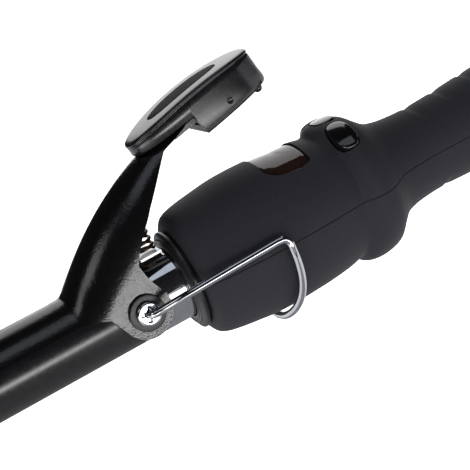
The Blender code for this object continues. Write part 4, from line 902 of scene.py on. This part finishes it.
def housing_half(side):
    """One half of the housing, outside and inside, closed along the joint and at both ends."""
    mesh = bmesh.new()
    xs = [0.0150 + 0.00018 * i for i in range(10)]
    while xs[-1] < END_X - 0.0008:
        here = xs[-1]
        xs.append(here + (0.0006 if 0.055 < here < 0.080 or here > 0.0855 and here < 0.137 else 0.0012))
    xs.append(END_X)
    joint = math.pi / 2 - 0.004
    spread = [-joint, -joint + 0.008, -joint + 0.018]
    spread += [-joint + 0.03 + (2 * joint - 0.06) * i / 84 for i in range(85)]
    spread += [joint - 0.018, joint - 0.008, joint]

    def spot(x, turn, radius):
        return (x, radius * math.sin(turn), side * radius * math.cos(turn))

    def outer(x, turn):
        angle = abs(turn) if side > 0 else math.pi - abs(turn)
        rim = 0.00008 * max(0.0, 1 - (joint - abs(turn)) / 0.008)
        nose = 0.0011 * max(0.0, 1 - (x - xs[0]) / 0.0016) ** 2.2
        return housing_radius(x, angle) - rim - nose

    outside = [[mesh.verts.new(spot(x, a, outer(x, a))) for a in spread] for x in xs]
    inner_xs = [x for x in xs if x > 0.0175]
    inside = [[mesh.verts.new(spot(x, a, profile_radius(x) - WALL)) for a in spread] for x in inner_xs[::3]]
    front_in = [mesh.verts.new(spot(0.0175, a, 0.0126)) for a in spread]
    front_out = [mesh.verts.new(spot(0.0150, a, 0.0126)) for a in spread]
    inside = [[mesh.verts.new(spot(0.0175, a, profile_radius(0.0175) - WALL)) for a in spread]] + inside
    if inner_xs[::3][-1] < END_X - 1e-6:
        inside.append([mesh.verts.new(spot(END_X, a, profile_radius(END_X) - WALL)) for a in spread])
    rows = outside + list(reversed(inside)) + [front_in, front_out]
    loops = rows + [rows[0]]
    for first, second in zip(loops, loops[1:]):
        for i in range(len(spread) - 1):
            mesh.faces.new((first[i], second[i], second[i + 1], first[i + 1]))
    first_in = len(xs) - len(inner_xs)
    marks = [first_in - 1] + list(range(first_in, len(xs), 3))
    if len(marks) < len(inside):
        marks.append(len(xs) - 1)
    for end in (0, -1):
        nose_edge = [row[end] for row in outside[:first_in]]
        mesh.faces.new([front_out[end]] + nose_edge + [inside[0][end], front_in[end]])
        for j in range(len(marks) - 1):
            edge = [row[end] for row in outside[marks[j]:marks[j + 1] + 1]]
            mesh.faces.new(edge + [inside[j + 1][end], inside[j][end]])
    bmesh.ops.triangulate(mesh, faces=[f for f in mesh.faces if len(f.verts) > 4])
    bmesh.ops.recalc_face_normals(mesh, faces=mesh.faces)
    return mesh


upper = piece("housing_upper", housing_half(1), lacquer, "root", ["shell_upper"])
piece("housing_lower", housing_half(-1), lacquer, "root", ["shell_lower"])

WINDOW = millimetres((42.1, 9.6), (44.3, 11.6), (47.0, 12.15), (50.6, 12.3), (54.5, 10.9))


def window_outline(clear):
    """The display window seen from above, smaller all round by a clearance."""
    side = [(max(min(x, 0.0545 - clear), 0.0421 + clear), y - clear) for x, y in WINDOW]
    corners = softened([(x, -y) for x, y in side] + [(x, y) for x, y in reversed(side)], 0.0009, 4)
    outline = []
    for (x0, y0), (x1, y1) in zip(corners, corners[1:] + corners[:1]):
        steps = max(1, round(math.hypot(x1 - x0, y1 - y0) / 0.0008))
        outline += [(x0 + (x1 - x0) * i / steps, y0 + (y1 - y0) * i / steps) for i in range(steps)]
    return outline


window_cut = prism(window_outline(0), 0.004, 0.03, "Z")
window_cut.transform(Matrix.Translation(PIVOT))
cut(upper, window_cut)

RIDGE_R, KEY_X = 0.0198, 0.0649
KEY_HALF = 0.0031
KEYS = (("minus", -math.radians(32.3), 0.0053), ("power", 0.0, 0.0037), ("plus", math.radians(32.3), 0.0053))


def key_frame(angle):
    """Places a key's frame: X along the handle, Y round it, Z out of the ridge."""
    return Matrix.Translation((KEY_X, 0, 0)) @ Matrix.Rotation(-angle, 4, "X")


for name, angle, half_round in KEYS:
    hole = prism(superoval(2 * KEY_HALF + 2 * HAIR, 2 * half_round + 2 * HAIR, 64, 2.5), 0.012, 0.026, "Z")
    hole.transform(Matrix.Translation(PIVOT) @ key_frame(angle))
    cut(upper, hole)


# ---------------------------------------------------------------- wire stand
# Spring-steel wire 2 mm thick, chromed, bent to fold under the housing when not in use. Opened out,
# it holds the hot barrel clear of the table.

WIRE = 0.00102
BELLY = 0.01935
HOOP = BELLY + 2 * HAIR + WIRE
REACH, RISE, LEAN, BEND = 0.0376, 0.0030, 0.0045, 0.0016
arm_y = HEAD_OUT + HAIR + WIRE + 0.0004
near = [(0.0, -(WIRE_SEAT + HAIR), 0.0), (0.0, -(arm_y - 0.0022), 0.0)]
near += [(BEND * (1 - math.cos(a)), -arm_y + BEND * (1 - math.sin(a)), 0)
         for a in [math.radians(10 * i) for i in range(10)]]

arm_beside = profile_radius(0.019) + WIRE + 0.0010
clear = Vector((0.36 * REACH, -arm_beside, 0.65 * RISE))
corner = Vector((REACH, -HOOP, RISE))
arm = curve_through([near[-1], clear, corner - Vector((0.0030, 0, 0))], 12)[1:]
elbow = [corner + Vector(step) for step in ((-0.0012, 0, -0.0003), (-0.0002, 0, -0.0015), (0, 0, -0.0030))]
down = []
for turn in (12, 25, 38, 51, 64, 77, 90):
    a = math.radians(turn)
    down.append(Vector((REACH - LEAN * math.sin(a) ** 3, -HOOP * math.cos(a), -HOOP * math.sin(a))))
hoop_half = curve_through([arm[-1]] + elbow + down, 6)[1:]
half = [Vector(p) for p in near] + arm + hoop_half
whole = half + [Vector((p.x, -p.y, p.z)) for p in reversed(half[:-1])]
piece("stand_wire", tube(whole, WIRE, 28), chrome, "stand", ["wire_stand"])


# ---------------------------------------------------------------- nose collar
# A heatproof ring closes the housing round the bright sleeve. Its lip stands proud of a shallow
# recess, with two fine grooves in its face.

LIP = BARREL_R + 0.0040
collar = [(0.0123, BARREL_R + HAIR), (0.0123, BARREL_R + 0.0013), (0.01245, BARREL_R + 0.0014),
          (0.01245, BARREL_R + 0.0017), (0.0123, BARREL_R + 0.0018), (0.0123, BARREL_R + 0.0023),
          (0.01255, BARREL_R + 0.0025),
          (0.0128, LIP - 0.0009), (0.0133, LIP), (0.0141, LIP), (0.0145, LIP - 0.0010), (0.0145, 0.0123),
          (0.0173, 0.0123), (0.0173, 0.0141), (0.0188, 0.0141), (0.0188, BARREL_R + HAIR)]
piece("collar", turned(softened(collar, 0.00018)), tip_finish, "root", ["nose_collar"])


# ---------------------------------------------------------------- display window and keys
# A smoked polycarbonate lens lies slightly sunk over the display. Behind it three polished ABS keys
# sit in the ridge with a fine gap round each.

def smoked_polycarbonate():
    """Brown-grey and clear enough to show the display's edge, with a hard gloss."""
    made, tree, shader = start_material("smoked_polycarbonate", IOR=1.50, Transmission_Weight=0.45)
    mottle(tree, shader, ("#2c1d19", "#38261f"), 6.0 * MM, 0.004 * MM, (0.03, 0.07), 1.0)
    return made


smoked = smoked_polycarbonate()
outline = window_outline(0.00015)
front_r, rear_r = profile_radius(0.0421) - 0.0004, profile_radius(0.0545) - 0.0004


def lens_height(x, y, sink):
    """The lens's face: straight along the handle and round across it."""
    radius = front_r + (rear_r - front_r) * (x - 0.0421) / 0.0124 - sink
    return math.sqrt(max(radius ** 2 - y ** 2, 0))


lens_rings = []
centre_x = 0.0483
LENS_STEPS = ((1, 0.0015), (1, 0.00025), (0.985, 0.00006), (0.96, 0), (0.85, 0), (0.7, 0), (0.5, 0),
              (0.25, 0))
for share, sink in LENS_STEPS:
    ring = []
    for x, y in outline:
        u, v = centre_x + (x - centre_x) * share, y * share
        ring.append((u, v, lens_height(u, v, sink)))
    lens_rings.append(ring)
piece("window_lens", stacked(lens_rings), smoked, "root", ["display_lens"], sharp=50)

KEY_STEPS = ((1, 0.0024), (1, 0.00055), (0.985, 0.00028), (0.93, 0.00008), (0.86, 0), (0.6, -0.00006),
             (0.3, -0.0001))
for name, angle, half_round in KEYS:
    rings = []
    proud = 0.0001 if name == "power" else 0.0004
    for share, sink in KEY_STEPS:
        ring = []
        for u, v in superoval(2 * KEY_HALF, 2 * half_round, 64, 2.5):
            u, v = u * share, v * share
            face = RIDGE_R + proud - 0.0002 * (u / KEY_HALF) ** 2 - sink
            ring.append((u, v, math.sqrt(max(face ** 2 - v ** 2, 0))))
        rings.append(ring)
    key = stacked(rings)
    key.transform(key_frame(angle))
    piece(f"key_cap_{name}", key, gloss, f"key_{name}", [f"key_{name}"], sharp=55)


# ---------------------------------------------------------------- end cap and cord gland
# The heatproof cap closes the handle, and a polished swivel gland in it takes the cord.

cap_in = END_R - WALL - HAIR
neck = 0.0033 + 0.0019
face = END_X + 0.0065
cap = [(END_X - 0.004, cap_in), (END_X + HAIR, cap_in), (END_X + HAIR, END_R), (END_X + 0.0012, END_R),
       (END_X + 0.0014, END_R - 0.0003), (END_X + 0.0018, END_R - 0.0003), (END_X + 0.0020, END_R - 0.0001),
       (END_X + 0.0040, END_R - 0.0007), (END_X + 0.0055, END_R - 0.0018), (face, END_R - 0.0032),
       (face, neck + HAIR),
       (END_X + 0.0025, neck + HAIR), (END_X + 0.0025, cap_in - 0.0015), (END_X - 0.004, cap_in - 0.0015)]
piece("tail_cap", turned(softened(cap, 0.0003)), tip_finish, "root", ["end_cap"])
gland = [(END_X - 0.0035, neck + 0.0006), (END_X - 0.0020, neck + 0.0006), (END_X - 0.0020, 0.0078),
         (END_X + 0.0022, 0.0078), (END_X + 0.0022, neck), (face + HAIR, neck), (face + HAIR, neck + 0.0018),
         (face + 0.0022, neck + 0.0018), (face + 0.0028, neck + 0.0004)]
for i in range(4):
    x = face + 0.0034 + 0.0019 * i
    gland += [(x, neck + 0.0002), (x + 0.0004, neck - 0.0005), (x + 0.0008, neck - 0.0005),
              (x + 0.0012, neck + 0.0001)]
gland += [(face + 0.0115, neck), (face + 0.0115, 0.0033), (END_X - 0.0035, 0.0033)]
piece("swivel_gland", turned(softened(gland, 0.00015)), gloss, "gland", ["cord_gland"])


# ---------------------------------------------------------------- parts inside and under
# Heater, board, leads and fixings keep their CAD shapes and get the finish each real one has.

def plain_finish(name, tones, grain, depth, roughness, detail=3.0, stretch=(1, 1, 1), **sockets):
    """A two-tone finish for a small part."""
    made, tree, shader = start_material(name, **sockets)
    mottle(tree, shader, tones, grain * MM, depth * MM, roughness, detail, stretch)
    return made


INNER = {
    "steatite": plain_finish("steatite", ("#d9d4c8", "#e6e2d8"), 0.4, 0.01, (0.5, 0.7)),
    "extruded_aluminium": plain_finish("extruded_aluminium", ("#b4b6ba", "#cacccf"), 0.25, 0.004, (0.3, 0.45),
                                       stretch=(0.05, 1, 1), Metallic=1.0),
    "turned_brass": plain_finish("turned_brass", ("#b8923f", "#cda84f"), 0.3, 0.003, (0.22, 0.35),
                                 Metallic=1.0),
    "glass_bead": plain_finish("glass_bead", ("#8a5a24", "#a06d30"), 1.0, 0.001, (0.05, 0.1), IOR=1.5),
    "woven_sleeving": plain_finish("woven_sleeving", ("#cfcabd", "#e4e0d6"), 0.25, 0.05, (0.75, 0.9)),
    "pressed_fibre": plain_finish("pressed_fibre", ("#6b5438", "#86694a"), 0.3, 0.02, (0.6, 0.8), 6.0),
    "grey_felt": plain_finish("grey_felt", ("#5e5e60", "#828283"), 0.18, 0.06, (0.8, 0.95), 6.0),
    "solder_mask": plain_finish("solder_mask", ("#0f3d22", "#155230"), 2.0, 0.02, (0.25, 0.4)),
    "moulded_epoxy": plain_finish("moulded_epoxy", ("#141414", "#1d1d1d"), 0.3, 0.008, (0.45, 0.6)),
    "dipped_film": plain_finish("dipped_film", ("#a98a2a", "#c0a03a"), 1.5, 0.01, (0.2, 0.35)),
    "display_glass": plain_finish("display_glass", ("#2c332c", "#394139"), 4.0, 0.001, (0.1, 0.16)),
    "red_insulation": plain_finish("red_insulation", ("#9c1f1f", "#b32a2a"), 1.0, 0.006, (0.35, 0.5)),
    "white_insulation": plain_finish("white_insulation", ("#d4d4d0", "#e2e2de"), 1.0, 0.006, (0.35, 0.5)),
    "zinc": zinc,
}
USES = {
    "steatite": ("heating_element", "lead_bush"),
    "extruded_aluminium": ("heat_shoe_upper", "heat_shoe_lower"),
    "turned_brass": ("contact_pin_line", "contact_pin_neutral"), "glass_bead": ("temperature_sensor",),
    "woven_sleeving": ("heater_lead_left", "heater_lead_right"),
    "pressed_fibre": ("barrel_flange", "contact_holder"),
    "grey_felt": ("tongue_liner",), "solder_mask": ("control_board",),
    "moulded_epoxy": ("triac", "key_carrier", "switch_minus", "switch_power", "switch_plus"),
    "dipped_film": ("mains_capacitor",), "display_glass": ("display_module",),
    "red_insulation": ("mains_lead_line",), "white_insulation": ("mains_lead_neutral",),
    "zinc": ("pad_screw", "shell_screw_1", "shell_screw_2"),
}
for finish_name, nodes in USES.items():
    for name in nodes:
        inner = frame["nodes"][name]
        inner.data.materials.clear()
        inner.data.materials.append(INNER[finish_name])
